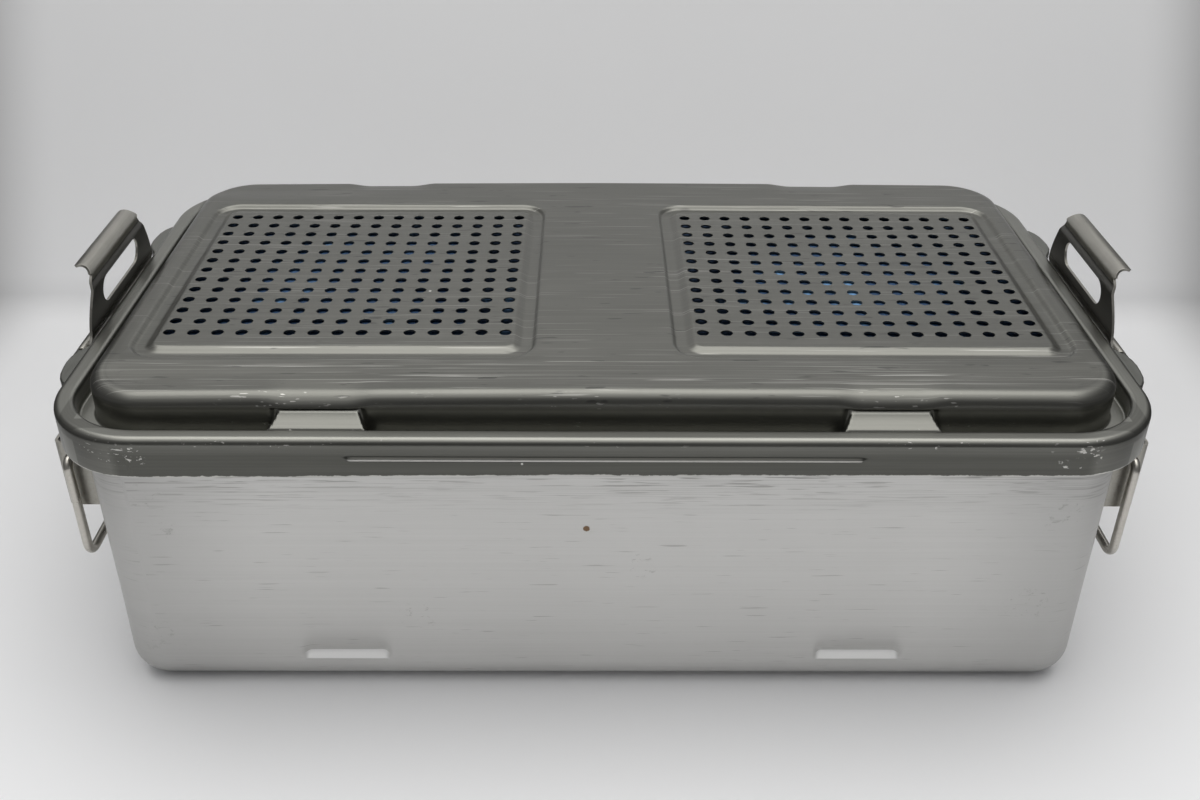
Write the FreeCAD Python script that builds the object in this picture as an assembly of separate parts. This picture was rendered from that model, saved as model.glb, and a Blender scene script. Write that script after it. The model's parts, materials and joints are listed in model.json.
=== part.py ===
import FreeCAD, Part
import os
from FreeCAD import Vector as V
from math import pi, sin, cos, radians, sqrt

# Rigid sterilisation container for instrument trays.
# All dimensions in millimetres. Origin: centre of the base underside,
# +X along the length, +Y across the width, +Z up.

os.makedirs("parts", exist_ok=True)

# ---------------------------------------------------------------- overall
SHEET = 1.5                 # aluminium sheet of pan and lid
# base pan
PAN_HX, PAN_HY, PAN_R = 265.5, 145.0, 24.0      # outer half length, half width, corner radius
PAN_BOTTOM_R = 18.0
PAN_TOP = 161.0
FLANGE_OUT = 11.5           # rim flange beyond the wall
FLANGE_LIP = 5.5
FLANGE_R = 50.0             # outer corner radius of the rim flange
NOTCH_X = 141.0             # stacking notches
NOTCH_Z = 20.5
NOTCH_DEPTH = 6.5
NOTCH_W = 43.0
NOTCH_TOP = 38.0
# lid
LID_TOP = 188.0
RIM_HX, RIM_HY, RIM_R = 280.0, 159.5, 50.5
RIM_Z = 173.4
SKIRT_Z = 153.5
BEAD_W = 10.8
CHAN_Z = 163.0
PLAT_HX, PLAT_HY, PLAT_R = 260.5, 140.0, 30.5
PLAT_EDGE_R = 7.0
# perforated fields
FIELD_X = 141.35
PITCH = 12.7
HOLE_D = 6.35
HOLES_X, HOLES_Y = 15, 13
GROOVE_X0, GROOVE_X1 = -234.5, -48.3            # inner top edge of the pressed groove, left field
GROOVE_Y0, GROOVE_Y1 = -90.5, 84.0
GROOVE_W = 13.0
GROOVE_D = 2.3
# latches
PIN_X, PIN_Z, PIN_R = 288.5, 161.5, 2.2
KNUCKLE_R = 3.7
LATCH_T = 1.5
LATCH_BORE = PIN_R + 0.05
# handle brackets
BR_X, BR_T, BR_HY = 290.0, 1.5, 110.0
BR_Z0, BR_Z1 = 99.0, 139.0
CATCH_HY, CATCH_Z0, CATCH_Z1 = 48.0, 103.5, 117.2
# bails
BAIL_X, BAIL_Z, BAIL_R = 282.5, 130.0, 2.5
BAIL_HY, BAIL_LOW = 115.5, 69.0
BAIL_BEND = 8.0
# filter and retainer
FILTER_T = 0.8
RET_T = 1.0
# basket
BK_HX, BK_HY, BK_R = 247.0, 127.0, 20.0
BK_Z0, BK_Z1, BK_T = 6.0, 92.0, 1.0


def rr_wire(x0, x1, y0, y1, r, z):
    p = []
    c = [(x1 - r, y1 - r, 0), (x0 + r, y1 - r, 90), (x0 + r, y0 + r, 180), (x1 - r, y0 + r, 270)]
    edges = []
    pts = []
    for cx, cy, a in c:
        a0, a1, am = radians(a), radians(a + 90), radians(a + 45)
        pts.append((V(cx + r * cos(a0), cy + r * sin(a0), z),
                    V(cx + r * cos(am), cy + r * sin(am), z),
                    V(cx + r * cos(a1), cy + r * sin(a1), z)))
    for k in range(4):
        s, m, e = pts[k]
        edges.append(Part.Arc(s, m, e).toShape())
        n = pts[(k + 1) % 4][0]
        if (n - e).Length > 1e-6:
            edges.append(Part.LineSegment(e, n).toShape())
    return Part.Wire(edges)


def prism4(x0, x1, y0, y1, r, z0, z1):
    return Part.Face(rr_wire(x0, x1, y0, y1, r, z0)).extrude(V(0, 0, z1 - z0))


def prism(hx, hy, r, z0, z1):
    return prism4(-hx, hx, -hy, hy, r, z0, z1)


def frustum(x0, x1, y0, y1, r, z0, grow, z1):
    # grow > 0: larger at z1
    a = rr_wire(x0, x1, y0, y1, r, z0)
    b = rr_wire(x0 - grow, x1 + grow, y0 - grow, y1 + grow, r + grow, z1)
    return Part.makeLoft([a, b], True, True)


def edges_at(shape, z, tol=1e-4):
    out = []
    for e in shape.Edges:
        bb = e.BoundBox
        if abs(bb.ZMin - z) < tol and abs(bb.ZMax - z) < tol:
            out.append(e)
    return out


def fillet_at(shape, z, r):
    return shape.makeFillet(r, edges_at(shape, z))


def box(x0, x1, y0, y1, z0, z1):
    return Part.makeBox(x1 - x0, y1 - y0, z1 - z0, V(x0, y0, z0))


def poly_x(pts, x0, x1):
    # polygon in (y, z), extruded along x
    w = Part.makePolygon([V(x0, y, z) for y, z in pts] + [V(x0, pts[0][0], pts[0][1])])
    return Part.Face(w).extrude(V(x1 - x0, 0, 0))


def poly_y(pts, y0, y1):
    # polygon in (x, z), extruded along y
    w = Part.makePolygon([V(x, y0, z) for x, z in pts] + [V(pts[0][0], y0, pts[0][1])])
    return Part.Face(w).extrude(V(0, y1 - y0, 0))


def mirror_y(s):
    return s.mirror(V(0, 0, 0), V(0, 1, 0))


def mirror_x(s):
    return s.mirror(V(0, 0, 0), V(1, 0, 0))


def fuse(a, *others):
    return a.multiFuse([o for o in others]) if others else a


def export(name, shape):
    if shape.ShapeType == "Compound" and len(shape.Solids) == 1:
        shape = shape.Solids[0]
    shape.exportStep("parts/%s.step" % name)
    bb = shape.BoundBox
    print("%-26s solids %d vol %.0f valid %s  x %.1f..%.1f y %.1f..%.1f z %.1f..%.1f" % (
        name, len(shape.Solids), shape.Volume, shape.isValid(),
        bb.XMin, bb.XMax, bb.YMin, bb.YMax, bb.ZMin, bb.ZMax))


# ================================================================ base pan
def four(tool):
    t2 = mirror_y(tool)
    return [tool, t2, mirror_x(tool), mirror_x(t2)]


pan_out = fillet_at(prism(PAN_HX, PAN_HY, PAN_R, 0, PAN_TOP), 0, PAN_BOTTOM_R)
pan_in = fillet_at(prism(PAN_HX - SHEET, PAN_HY - SHEET, PAN_R - SHEET, SHEET, PAN_TOP + 5), SHEET, PAN_BOTTOM_R - SHEET)
w = NOTCH_W / 2
yo = -PAN_HY
dent_o = poly_x([(yo - 1, NOTCH_Z), (yo + NOTCH_DEPTH, NOTCH_Z), (yo + NOTCH_DEPTH * 0.72, NOTCH_Z + 3.5),
                 (yo + NOTCH_DEPTH * 0.25, NOTCH_Z + 10.5), (yo, NOTCH_TOP), (yo - 1, NOTCH_TOP)],
                NOTCH_X - w, NOTCH_X + w)
s = SHEET
dent_i = poly_x([(yo + s - 1, NOTCH_Z - s), (yo + NOTCH_DEPTH + s, NOTCH_Z - s), (yo + NOTCH_DEPTH * 0.72 + s, NOTCH_Z + 3.9),
                 (yo + NOTCH_DEPTH * 0.25 + s, NOTCH_Z + 10.9), (yo + s, NOTCH_TOP + 0.6), (yo + s - 1, NOTCH_TOP + 0.6)],
                NOTCH_X - w - s, NOTCH_X + w + s)
pan_out = pan_out.cut(Part.makeCompound(four(dent_o)))
pan_in = pan_in.cut(Part.makeCompound(four(dent_i)))
fl = prism(PAN_HX + FLANGE_OUT, PAN_HY + FLANGE_OUT, FLANGE_R, PAN_TOP - FLANGE_LIP, PAN_TOP)
fl = fillet_at(fl, PAN_TOP, 2.0)
fl_in = prism(PAN_HX + FLANGE_OUT - s, PAN_HY + FLANGE_OUT - s, FLANGE_R - s, PAN_TOP - FLANGE_LIP - 1, PAN_TOP - s)
fl = fl.cut(fl_in)
base_pan = pan_out.fuse(fl).cut(pan_in)

# ================================================================ lid shell
rim = fillet_at(prism(RIM_HX, RIM_HY, RIM_R, SKIRT_Z, RIM_Z), RIM_Z, 5.0)
chan_tool = prism(RIM_HX - BEAD_W, RIM_HY - BEAD_W, RIM_R - BEAD_W, CHAN_Z, RIM_Z + 10)
rim = rim.cut(chan_tool)
# rounded inner edge of the rim bead
inner_top = [e for e in edges_at(rim, RIM_Z) if max(abs(e.BoundBox.XMax), abs(e.BoundBox.XMin)) <= RIM_HX - BEAD_W + 0.01
             and max(abs(e.BoundBox.YMax), abs(e.BoundBox.YMin)) <= RIM_HY - BEAD_W + 0.01]
rim = rim.makeFillet(2.5, inner_top)
plat = fillet_at(prism(PLAT_HX, PLAT_HY, PLAT_R, CHAN_Z - 0.5, LID_TOP), LID_TOP, PLAT_EDGE_R)

# plateau edge saddles, one above each stacking boss
SAD_W = 50.0
SAD_DROP = 2.2
SAD_RUN = 13.0
yp = -PLAT_HY
saddle_o = poly_x([(yp - 2, LID_TOP + 1), (yp + SAD_RUN, LID_TOP + 0.05), (yp + 5.2, LID_TOP - SAD_DROP * 0.62),
                   (yp + 1.2, LID_TOP - SAD_DROP - 3.2), (yp - 0.4, LID_TOP - SAD_DROP - 8), (yp - 2, LID_TOP - SAD_DROP - 8)],
                  NOTCH_X - SAD_W / 2, NOTCH_X + SAD_W / 2)
saddle_i = poly_x([(yp - 2, LID_TOP + 1), (yp + SAD_RUN, LID_TOP - s + 0.0), (yp + 5.6, LID_TOP - s - SAD_DROP * 0.62 - 0.2),
                   (yp + s + 1.2, LID_TOP - s - SAD_DROP - 3.4), (yp + s - 0.4, LID_TOP - s - SAD_DROP - 8), (yp - 2, LID_TOP - s - SAD_DROP - 8)],
                  NOTCH_X - SAD_W / 2 - s, NOTCH_X + SAD_W / 2 + s)
plat = plat.cut(Part.makeCompound(four(saddle_o)))

# stacking bosses in the channel
BOSS_Z = 177.1


def boss(off, wtop, wbot):
    yb = -PLAT_HY
    top = BOSS_Z - off
    prof = [(yb + 6, CHAN_Z - off), (-149.5 + off, CHAN_Z - off), (-149.5 + off, 172.0 - off * 0.9), (-140.2 + off * 0.3, top), (yb + 6, top)]
    body = poly_x(prof, NOTCH_X - wbot / 2, NOTCH_X + wbot / 2)
    # slanted ends
    for sgn in (-1, 1):
        xe = NOTCH_X + sgn * wbot / 2
        xt = NOTCH_X + sgn * wtop / 2
        cutter = Part.Face(Part.makePolygon([V(xe, -150, CHAN_Z - off), V(xt, -150, top + 0.01), V(xt, -150, top + 3),
                                            V(xe + sgn * 3, -150, top + 3), V(xe + sgn * 3, -150, CHAN_Z - off), V(xe, -150, CHAN_Z - off)])).extrude(V(0, 20, 0))
        body = body.cut(cutter)
    return body


boss_o = boss(0, 42.0, 52.0)
boss_i = boss(s, 42.0 - 2 * s, 52.0 - 2 * s)

lid_out = fuse(rim, plat, *four(boss_o))

# pressed groove round each field
g_x0, g_x1, g_y0, g_y1 = GROOVE_X0, GROOVE_X1, GROOVE_Y0, GROOVE_Y1


def groove(depth_off):
    zt = LID_TOP - depth_off + 0.01
    zb = LID_TOP - GROOVE_D - depth_off
    o = depth_off * 0.5
    outer = frustum(g_x0 - GROOVE_W + 2.6 - o, g_x1 + GROOVE_W - 2.6 + o, g_y0 - GROOVE_W + 2.6 - o, g_y1 + GROOVE_W - 2.6 + o, 13.0 + o, zb, 2.6, zt)
    inner = Part.makeLoft([rr_wire(g_x0 - 5.4 + o, g_x1 + 5.4 - o, g_y0 - 5.4 + o, g_y1 + 5.4 - o, 9.0 - o, zb - 1),
                           rr_wire(g_x0 - 5.4 + o, g_x1 + 5.4 - o, g_y0 - 5.4 + o, g_y1 + 5.4 - o, 9.0 - o, zb),
                           rr_wire(g_x0 + o, g_x1 - o, g_y0 + o, g_y1 - o, 5.0, zt),
                           rr_wire(g_x0 + o, g_x1 - o, g_y0 + o, g_y1 - o, 5.0, zt + 1)], True, True)
    return outer.cut(inner)


g_o = groove(0)
g_i = groove(SHEET)
lid_out = lid_out.cut(Part.makeCompound([g_o, mirror_x(g_o)]))

void_rim = fillet_at(prism(RIM_HX - s, RIM_HY - s, RIM_R - s, SKIRT_Z - 5, RIM_Z - s), RIM_Z - s, 3.5)
wall = prism(RIM_HX - BEAD_W + s, RIM_HY - BEAD_W + s, RIM_R - BEAD_W + s, CHAN_Z - s, RIM_Z + 5)
void_rim = void_rim.cut(wall)
void_plat = fillet_at(prism(PLAT_HX - s, PLAT_HY - s, PLAT_R - s, CHAN_Z - s - 2, LID_TOP - s), LID_TOP - s, PLAT_EDGE_R - s)
void_plat = void_plat.cut(Part.makeCompound(four(saddle_i)))
void_plat = void_plat.cut(Part.makeCompound([g_i, mirror_x(g_i)]))
lid_void = fuse(void_rim, void_plat, *four(boss_i))
lid_shell = lid_out.cut(lid_void)

# stiffening rib pressed outwards along both long sides of the skirt
RIB_Z, RIB_R, RIB_OUT, RIB_HALF = 162.4, 1.3, 0.8, 127.0
rib = Part.makeCylinder(RIB_R, 2 * RIB_HALF, V(-RIB_HALF, -RIM_HY, RIB_Z), V(1, 0, 0))
rib = rib.common(box(-130, 130, -RIM_HY - RIB_OUT, -RIM_HY + 1.2, 160, 166))
lid_shell = lid_shell.multiFuse([rib, mirror_y(rib)])

holes = []
for sx in (-1, 1):
    for i in range(HOLES_X):
        for j in range(HOLES_Y):
            x = sx * FIELD_X + (i - (HOLES_X - 1) / 2) * PITCH
            y = (j - (HOLES_Y - 1) / 2) * PITCH
            holes.append(Part.makeCylinder(HOLE_D / 2, 6, V(x, y, LID_TOP - 4)))
lid_shell = lid_shell.cut(Part.makeCompound(holes))

# ================================================================ gasket
gk = prism(RIM_HX - 5.2, RIM_HY - 5.2, RIM_R - 5.2, 161.4, RIM_Z - s - 0.02)
gk = gk.cut(prism(RIM_HX - BEAD_W + s + 0.6, RIM_HY - BEAD_W + s + 0.6, RIM_R - BEAD_W + s + 0.6, 160, 173))
gasket = fillet_at(gk, 161.4, 1.6)

# ================================================================ latch bracket (left side built, right mirrored)
# flat backing plate on the rim wall
X0 = -RIM_HX - 0.03
bp = box(X0 - 1.5, X0, -101, 101, 154.5, 166.0)
BUMP = [(0.0, -101.0), (2.6, -99.0), (5.0, -95.0), (6.6, -90.0), (7.4, -84.0), (7.8, -78.0), (7.3, -72.0), (5.6, -67.0), (3.2, -62.6), (1.5, -60.0), (0.0, -60.0)]


def bump(off, z0, z1):
    pts = [V(X0 - d, y, z0) for d, y in BUMP]
    f = Part.Face(Part.makePolygon(pts + [pts[0]]))
    sol = f.extrude(V(0, 0, z1 - z0))
    return sol


wing = bump(0, 155.5, 170.0)
wing_top = [e for e in wing.Edges if abs(e.BoundBox.ZMin - 170.0) < 1e-4 and abs(e.BoundBox.ZMax - 170.0) < 1e-4 and e.BoundBox.XMin < X0 - 1e-3]
try:
    wing = wing.makeFillet(1.2, wing_top)
except Exception as ex:
    print("wing fillet skipped", ex)
inner_pts = [(1.5, -97.5), (3.8, -94.2), (5.2, -89.5), (5.9, -84.0), (6.3, -78.0), (5.8, -73.0), (4.4, -68.6), (1.5, -65.0)]
ip = [V(X0 - d, y, 150) for d, y in inner_pts]
wing_in = Part.Face(Part.makePolygon(ip + [ip[0]])).extrude(V(0, 0, 18.3))
wing = wing.cut(wing_in)
# central knuckle carried on a folded tab, end lugs carry the pin ends
KY = 7.0


def knuckle(y0, y1, bore):
    k = Part.makeCylinder(KNUCKLE_R, y1 - y0, V(-PIN_X, y0, PIN_Z), V(0, 1, 0))
    tab = box(-PIN_X, X0 - 0.2, y0, y1, PIN_Z - KNUCKLE_R, PIN_Z - KNUCKLE_R + 1.5)
    k = k.fuse(tab)
    return k.cut(Part.makeCylinder(bore, y1 - y0 + 2, V(-PIN_X, y0 - 1, PIN_Z), V(0, 1, 0)))


mid = knuckle(-KY, KY, PIN_R)
lug1 = knuckle(-59.8, -57.2, PIN_R)
lug2 = knuckle(57.2, 59.8, PIN_R)
latch_bracket_l = fuse(bp, wing, mirror_y(wing), mid, lug1, lug2)
riv_y = [-92.0, -42.0, 42.0, 92.0]
RIV_R = 1.9
RIV_Z = 160.2


def rivet_x(x_in, x_out, y, z, r, head_r, head_t):
    # shank from x_in (inner face) to x_out (outer face), a low head each side
    lo, hi = min(x_in, x_out), max(x_in, x_out)
    b = Part.makeCylinder(r, hi - lo, V(lo, y, z), V(1, 0, 0))
    h1 = Part.makeCylinder(head_r, head_t, V(hi, y, z), V(1, 0, 0))
    h2 = Part.makeCylinder(head_r, head_t, V(lo - head_t, y, z), V(1, 0, 0))
    h1 = h1.makeFillet(head_t * 0.7, [e for e in h1.Edges if abs(e.BoundBox.XMin - (hi + head_t)) < 1e-4 and abs(e.BoundBox.XMax - (hi + head_t)) < 1e-4])
    h2 = h2.makeFillet(head_t * 0.7, [e for e in h2.Edges if abs(e.BoundBox.XMax - (lo - head_t)) < 1e-4 and abs(e.BoundBox.XMin - (lo - head_t)) < 1e-4])
    return fuse(b, h1, h2)


def bore_x(x0, x1, y, z, r):
    return Part.makeCylinder(r, abs(x1 - x0), V(min(x0, x1), y, z), V(1, 0, 0))


lid_rivets = []
lid_bores = []
for y in riv_y:
    if abs(y) > 60:
        continue
    lid_rivets.append(rivet_x(X0 - 1.5, -RIM_HX + s, y, RIV_Z, RIV_R, 3.2, 0.9))
    lid_bores.append(bore_x(-RIM_HX - 4, -RIM_HX + 4, y, RIV_Z, RIV_R))
for y in (-17.5, 17.5):
    lid_rivets.append(rivet_x(X0 - 1.5, -RIM_HX + s, y, 157.2, RIV_R, 3.2, 0.9))
    lid_bores.append(bore_x(-RIM_HX - 4, -RIM_HX + 4, y, 157.2, RIV_R))
lb = Part.makeCompound(lid_bores)
latch_bracket_l = latch_bracket_l.cut(lb)
lid_shell = lid_shell.cut(Part.makeCompound([lb, mirror_x(lb)]))
rl = Part.makeCompound(lid_rivets)
latch_rivets = Part.makeCompound(rl.Solids + mirror_x(rl).Solids)

pin_l = Part.makeCylinder(PIN_R, 121.6, V(-PIN_X, -60.8, PIN_Z), V(0, 1, 0))
pin_l = fuse(pin_l, Part.makeCylinder(PIN_R + 0.9, 0.9, V(-PIN_X, -61.4, PIN_Z), V(0, 1, 0)),
             Part.makeCylinder(PIN_R + 0.9, 0.9, V(-PIN_X, 60.5, PIN_Z), V(0, 1, 0)))

# ================================================================ latch plate (left, standing open)
LX = 281.7      # centre plane of the upright web, positive = outboard
h = LATCH_T / 2


def strip(points, t, y0, y1):
    # sheet of thickness t about a centre line of (x, z) points, extruded along y
    n = len(points)
    left, right = [], []
    for k in range(n):
        if k == 0:
            d = V(points[1][0] - points[0][0], 0, points[1][1] - points[0][1])
        elif k == n - 1:
            d = V(points[-1][0] - points[-2][0], 0, points[-1][1] - points[-2][1])
        else:
            d1 = V(points[k][0] - points[k - 1][0], 0, points[k][1] - points[k - 1][1]); d1.normalize()
            d2 = V(points[k + 1][0] - points[k][0], 0, points[k + 1][1] - points[k][1]); d2.normalize()
            d = d1 + d2
        d.normalize()
        nx, nz = -d.z, d.x
        sc = 1.0
        if 0 < k < n - 1:
            c = d1.x * d2.x + d1.z * d2.z
            c = max(-0.999, min(1.0, c))
            sc = 1.0 / sqrt((1 + c) / 2)
        left.append((points[k][0] + nx * t / 2 * sc, points[k][1] + nz * t / 2 * sc))
        right.append((points[k][0] - nx * t / 2 * sc, points[k][1] - nz * t / 2 * sc))
    return poly_y(left + right[::-1], y0, y1)


cl = []
# from the knuckle, up and over to the web (x positive outboard; mirrored later)
for a in range(0, 5):
    t = a / 4.0
    cl.append((PIN_X - 2.95 - (PIN_X - 2.95 - LX) * (3 * t * t - 2 * t ** 3), PIN_Z + 0.2 + 10.6 * t))
cl.append((LX, 195.2))
cl.append((LX + 0.9, 197.2))
cl.append((LX + 1.7, 199.2))
ARC_R = 5.6
acx, acz = LX + 1.7 + ARC_R, 201.8
for a in range(180, 59, -15):
    cl.append((acx + ARC_R * cos(radians(a)), acz + ARC_R * sin(radians(a))))
cl.append((acx + 4.6, acz + 4.1))
sheet = strip([(x, z) for x, z in cl], LATCH_T, -60, 60)
# outline: narrower at the lip, flaring to the hinge
outl = [(-38.2, 215), (38.2, 215), (38.2, 204.0), (41.2, 200.5), (47.5, 191.0), (52.5, 181.0), (54.8, 172.0), (54.8, 158),
        (-54.8, 158), (-54.8, 172.0), (-52.5, 181.0), (-47.5, 191.0), (-41.2, 200.5), (-38.2, 204.0)]
ow = Part.makePolygon([V(270, y, z) for y, z in outl] + [V(270, outl[0][0], outl[0][1])])
outl_s = Part.Face(ow).extrude(V(30, 0, 0))
web = sheet.common(outl_s)
# oblong window
win = fuse(box(275, 290, -23.3, 23.3, 179.9, 195.0), Part.makeCylinder(7.55, 15, V(275, -23.3, 187.45), V(1, 0, 0)),
           Part.makeCylinder(7.55, 15, V(275, 23.3, 187.45), V(1, 0, 0)))
web = web.cut(win)
# gaps in the lower edge for the bracket's middle knuckle and the two bare stretches of pin
web = web.cut(box(275, 295, -28.6, 28.6, 150, 167.6))
# rolled knuckles
for y0, y1 in ((-54.8, -28.6), (28.6, 54.8)):
    k = Part.makeCylinder(KNUCKLE_R, y1 - y0, V(PIN_X, y0, PIN_Z), V(0, 1, 0))
    web = web.fuse(k)
web = web.cut(Part.makeCylinder(LATCH_BORE, 130, V(PIN_X, -65, PIN_Z), V(0, 1, 0)))
latch_r = web.removeSplitter()
latch_l = mirror_x(latch_r)

# ================================================================ handle bracket (left)
def bracket():
    X1 = -BR_X
    xw = -PAN_HX - 0.02
    plate = box(X1, X1 + BR_T, -BR_HY, BR_HY, BR_Z0, BR_Z1)
    ch = box(X1, xw, -BR_HY, -BR_HY + BR_T, BR_Z0, BR_Z1)
    hat = box(X1, xw, -BR_HY, BR_HY, BR_Z0, BR_Z1)
    ve = [e for e in hat.Edges if abs(e.BoundBox.XMax - X1) < 1e-4 and abs(e.BoundBox.ZMax - e.BoundBox.ZMin) > 30]
    hat = hat.makeFillet(4.0, ve)
    core = box(X1 + BR_T, xw + 2, -BR_HY + BR_T, BR_HY - BR_T, BR_Z0 - 1, BR_Z1 + 1)
    ve = [e for e in core.Edges if abs(e.BoundBox.XMax - (X1 + BR_T)) < 1e-4 and abs(e.BoundBox.ZMax - e.BoundBox.ZMin) > 30]
    core = core.makeFillet(2.5, ve)
    hat = hat.cut(core)
    f1 = box(xw - BR_T, xw, -BR_HY - 10.5, -BR_HY + BR_T, BR_Z0, BR_Z1 - 4)
    f2 = mirror_y(f1)
    lip = box(X1, X1 + 6.0, -BR_HY + 6, BR_HY - 6, BR_Z1 - 1.5, BR_Z1)
    hat = fuse(hat, f1, f2, lip)
    hat = hat.cut(box(X1 - 2, X1 + 4, -CATCH_HY, CATCH_HY, CATCH_Z0, CATCH_Z1))
    # pivot holes of the bail
    hat = hat.cut(Part.makeCylinder(BAIL_R + 0.05, 2 * BR_HY + 10, V(-BAIL_X, -BR_HY - 5, BAIL_Z), V(0, 1, 0)))
    return hat


br_l = bracket()
pan_rivets = []
pan_bores = []
for y in (-BR_HY - 5.2, BR_HY + 5.2):
    for z in (106.0, 127.0):
        pan_rivets.append(rivet_x(-PAN_HX - 0.02 - BR_T, -PAN_HX + s, y, z, 2.0, 3.6, 1.0))
        pan_bores.append(bore_x(-PAN_HX - 5, -PAN_HX + 5, y, z, 2.0))
pb = Part.makeCompound(pan_bores)
br_l = br_l.cut(pb)
base_pan = base_pan.cut(Part.makeCompound([pb, mirror_x(pb)]))
pr = Part.makeCompound(pan_rivets)
bracket_rivets = Part.makeCompound(pr.Solids + mirror_x(pr).Solids)

# ================================================================ bail handle (left, hanging)
def bail():
    r = BAIL_BEND
    b = 4.0
    x = -BAIL_X
    hy = BAIL_HY
    zt, zb = BAIL_Z, BAIL_LOW
    yin = BR_HY - BR_T - 2.2
    pts = []
    c45 = cos(radians(45))
    e = []
    P = lambda y, z: V(x, y, z)
    e.append(Part.LineSegment(P(-yin, zt), P(-hy + b, zt)).toShape())
    e.append(Part.Arc(P(-hy + b, zt), P(-hy + b - b * c45, zt - b + b * c45), P(-hy, zt - b)).toShape())
    e.append(Part.LineSegment(P(-hy, zt - b), P(-hy, zb + r)).toShape())
    e.append(Part.Arc(P(-hy, zb + r), P(-hy + r - r * c45, zb + r - r * c45), P(-hy + r, zb)).toShape())
    e.append(Part.LineSegment(P(-hy + r, zb), P(hy - r, zb)).toShape())
    e.append(Part.Arc(P(hy - r, zb), P(hy - r + r * c45, zb + r - r * c45), P(hy, zb + r)).toShape())
    e.append(Part.LineSegment(P(hy, zb + r), P(hy, zt - b)).toShape())
    e.append(Part.Arc(P(hy, zt - b), P(hy - b + b * c45, zt - b + b * c45), P(hy - b, zt)).toShape())
    e.append(Part.LineSegment(P(hy - b, zt), P(yin, zt)).toShape())
    wpath = Part.Wire(e)
    prof = Part.Wire([Part.makeCircle(BAIL_R, P(-yin, zt), V(0, 1, 0))])
    body = wpath.makePipeShell([prof], True, False)
    # upset heads inside the bracket
    h1 = Part.makeCylinder(BAIL_R + 1.2, 1.8, P(-yin - 0.2, zt), V(0, 1, 0))
    h2 = Part.makeCylinder(BAIL_R + 1.2, 1.8, P(yin - 1.6, zt), V(0, 1, 0))
    return fuse(body, h1, h2)


bail_l = bail()

# ================================================================ filters, retainers
FZ1 = LID_TOP - GROOVE_D - SHEET - 0.05
FX0, FX1, FY0, FY1 = GROOVE_X0 - 11.0, GROOVE_X1 + 11.0, GROOVE_Y0 - 11.0, GROOVE_Y1 + 11.0
filter_l = prism4(FX0, FX1, FY0, FY1, 10, FZ1 - FILTER_T, FZ1)
RZ1 = FZ1 - FILTER_T - 0.05
RX0, RX1, RY0, RY1 = -257.6, -23.6, -112.0, 106.0
ret = prism4(RX0, RX1, RY0, RY1, 12, RZ1 - RET_T, RZ1)
skirt = prism4(RX0, RX1, RY0, RY1, 12, RZ1 - 5.0, RZ1 - RET_T).cut(prism4(RX0 + 1, RX1 - 1, RY0 + 1, RY1 - 1, 11, RZ1 - 6, RZ1))
ret = ret.fuse(skirt)
rh = []
RP = 16.0
for i in range(12):
    for j in range(11):
        x = -FIELD_X + (i - 5.5) * RP
        y = -3.2 + (j - 5) * RP
        if abs(x + FIELD_X) < 17 and abs(y + 3.2) < 17:
            continue
        rh.append(Part.makeCylinder(4.0, 4, V(x, y, RZ1 - 3)))
STUDS = [(-252.0, -62.0), (-252.0, 56.0), (-29.5, -62.0), (-29.5, 56.0)]
for x, y in STUDS:
    rh.append(Part.makeCylinder(3.6, 8, V(x, y, RZ1 - 4)))
ret = ret.cut(Part.makeCompound(rh))
studs = []
for x, y in STUDS:
    st = Part.makeCylinder(2.5, LID_TOP - SHEET - 174.6, V(x, y, 174.6))
    st = st.makeFillet(0.8, [e for e in st.Edges if abs(e.BoundBox.ZMax - 174.6) < 1e-4])
    studs.append(st)
sc = Part.makeCompound(studs)
retainer_studs = Part.makeCompound(sc.Solids + mirror_x(sc).Solids)
grs = []
for x, y in STUDS:
    g = Part.makeCylinder(4.4, 1.3, V(x, y, RZ1 - RET_T - 1.32)).fuse(Part.makeCylinder(3.55, 2.3, V(x, y, RZ1 - RET_T - 1.32)))
    g = g.fuse(Part.makeCylinder(3.9, 2.0, V(x, y, RZ1 - RET_T - 3.3)))
    g = g.cut(Part.makeCylinder(2.55, 12, V(x, y, RZ1 - 8)))
    grs.append(g)
grommets_l = Part.makeCompound(grs)
kx, ky = -FIELD_X, -3.2
knob = Part.makeCylinder(9.0, 5.0, V(kx, ky, RZ1 - RET_T - 12.0))
knob = knob.makeFillet(1.4, [e for e in knob.Edges if abs(e.BoundBox.ZMax - e.BoundBox.ZMin) < 1e-4])
neck = Part.makeCylinder(4.5, 7.02, V(kx, ky, RZ1 - RET_T - 7.04))
base_k = Part.makeCylinder(8.0, 1.4, V(kx, ky, RZ1 - RET_T - 1.42))
knob_l = fuse(knob, neck, base_k)

# ================================================================ basket (the tray that carries the instruments)
bk_out = fillet_at(prism(BK_HX, BK_HY, BK_R, BK_Z0, BK_Z1), BK_Z0, 8.0)
bk_in = fillet_at(prism(BK_HX - BK_T, BK_HY - BK_T, BK_R - BK_T, BK_Z0 + BK_T, BK_Z1 + 5), BK_Z0 + BK_T, 7.0)
bk = bk_out.cut(bk_in)
bh = []
BP = 22.0
for i in range(21):
    for j in range(11):
        bh.append(Part.makeCylinder(6.0, 6, V((i - 10) * BP, (j - 5) * BP, BK_Z0 - 2)))
bk = bk.cut(Part.makeCompound(bh))
bh = []
for k in range(3):
    z = 28.0 + k * 20.0
    for i in range(20):
        x = (i - 9.5) * BP
        bh.append(Part.makeCylinder(6.0, 2 * BK_HY + 10, V(x, -BK_HY - 5, z), V(0, 1, 0)))
bk = bk.cut(Part.makeCompound(bh))
bh = []
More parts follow.
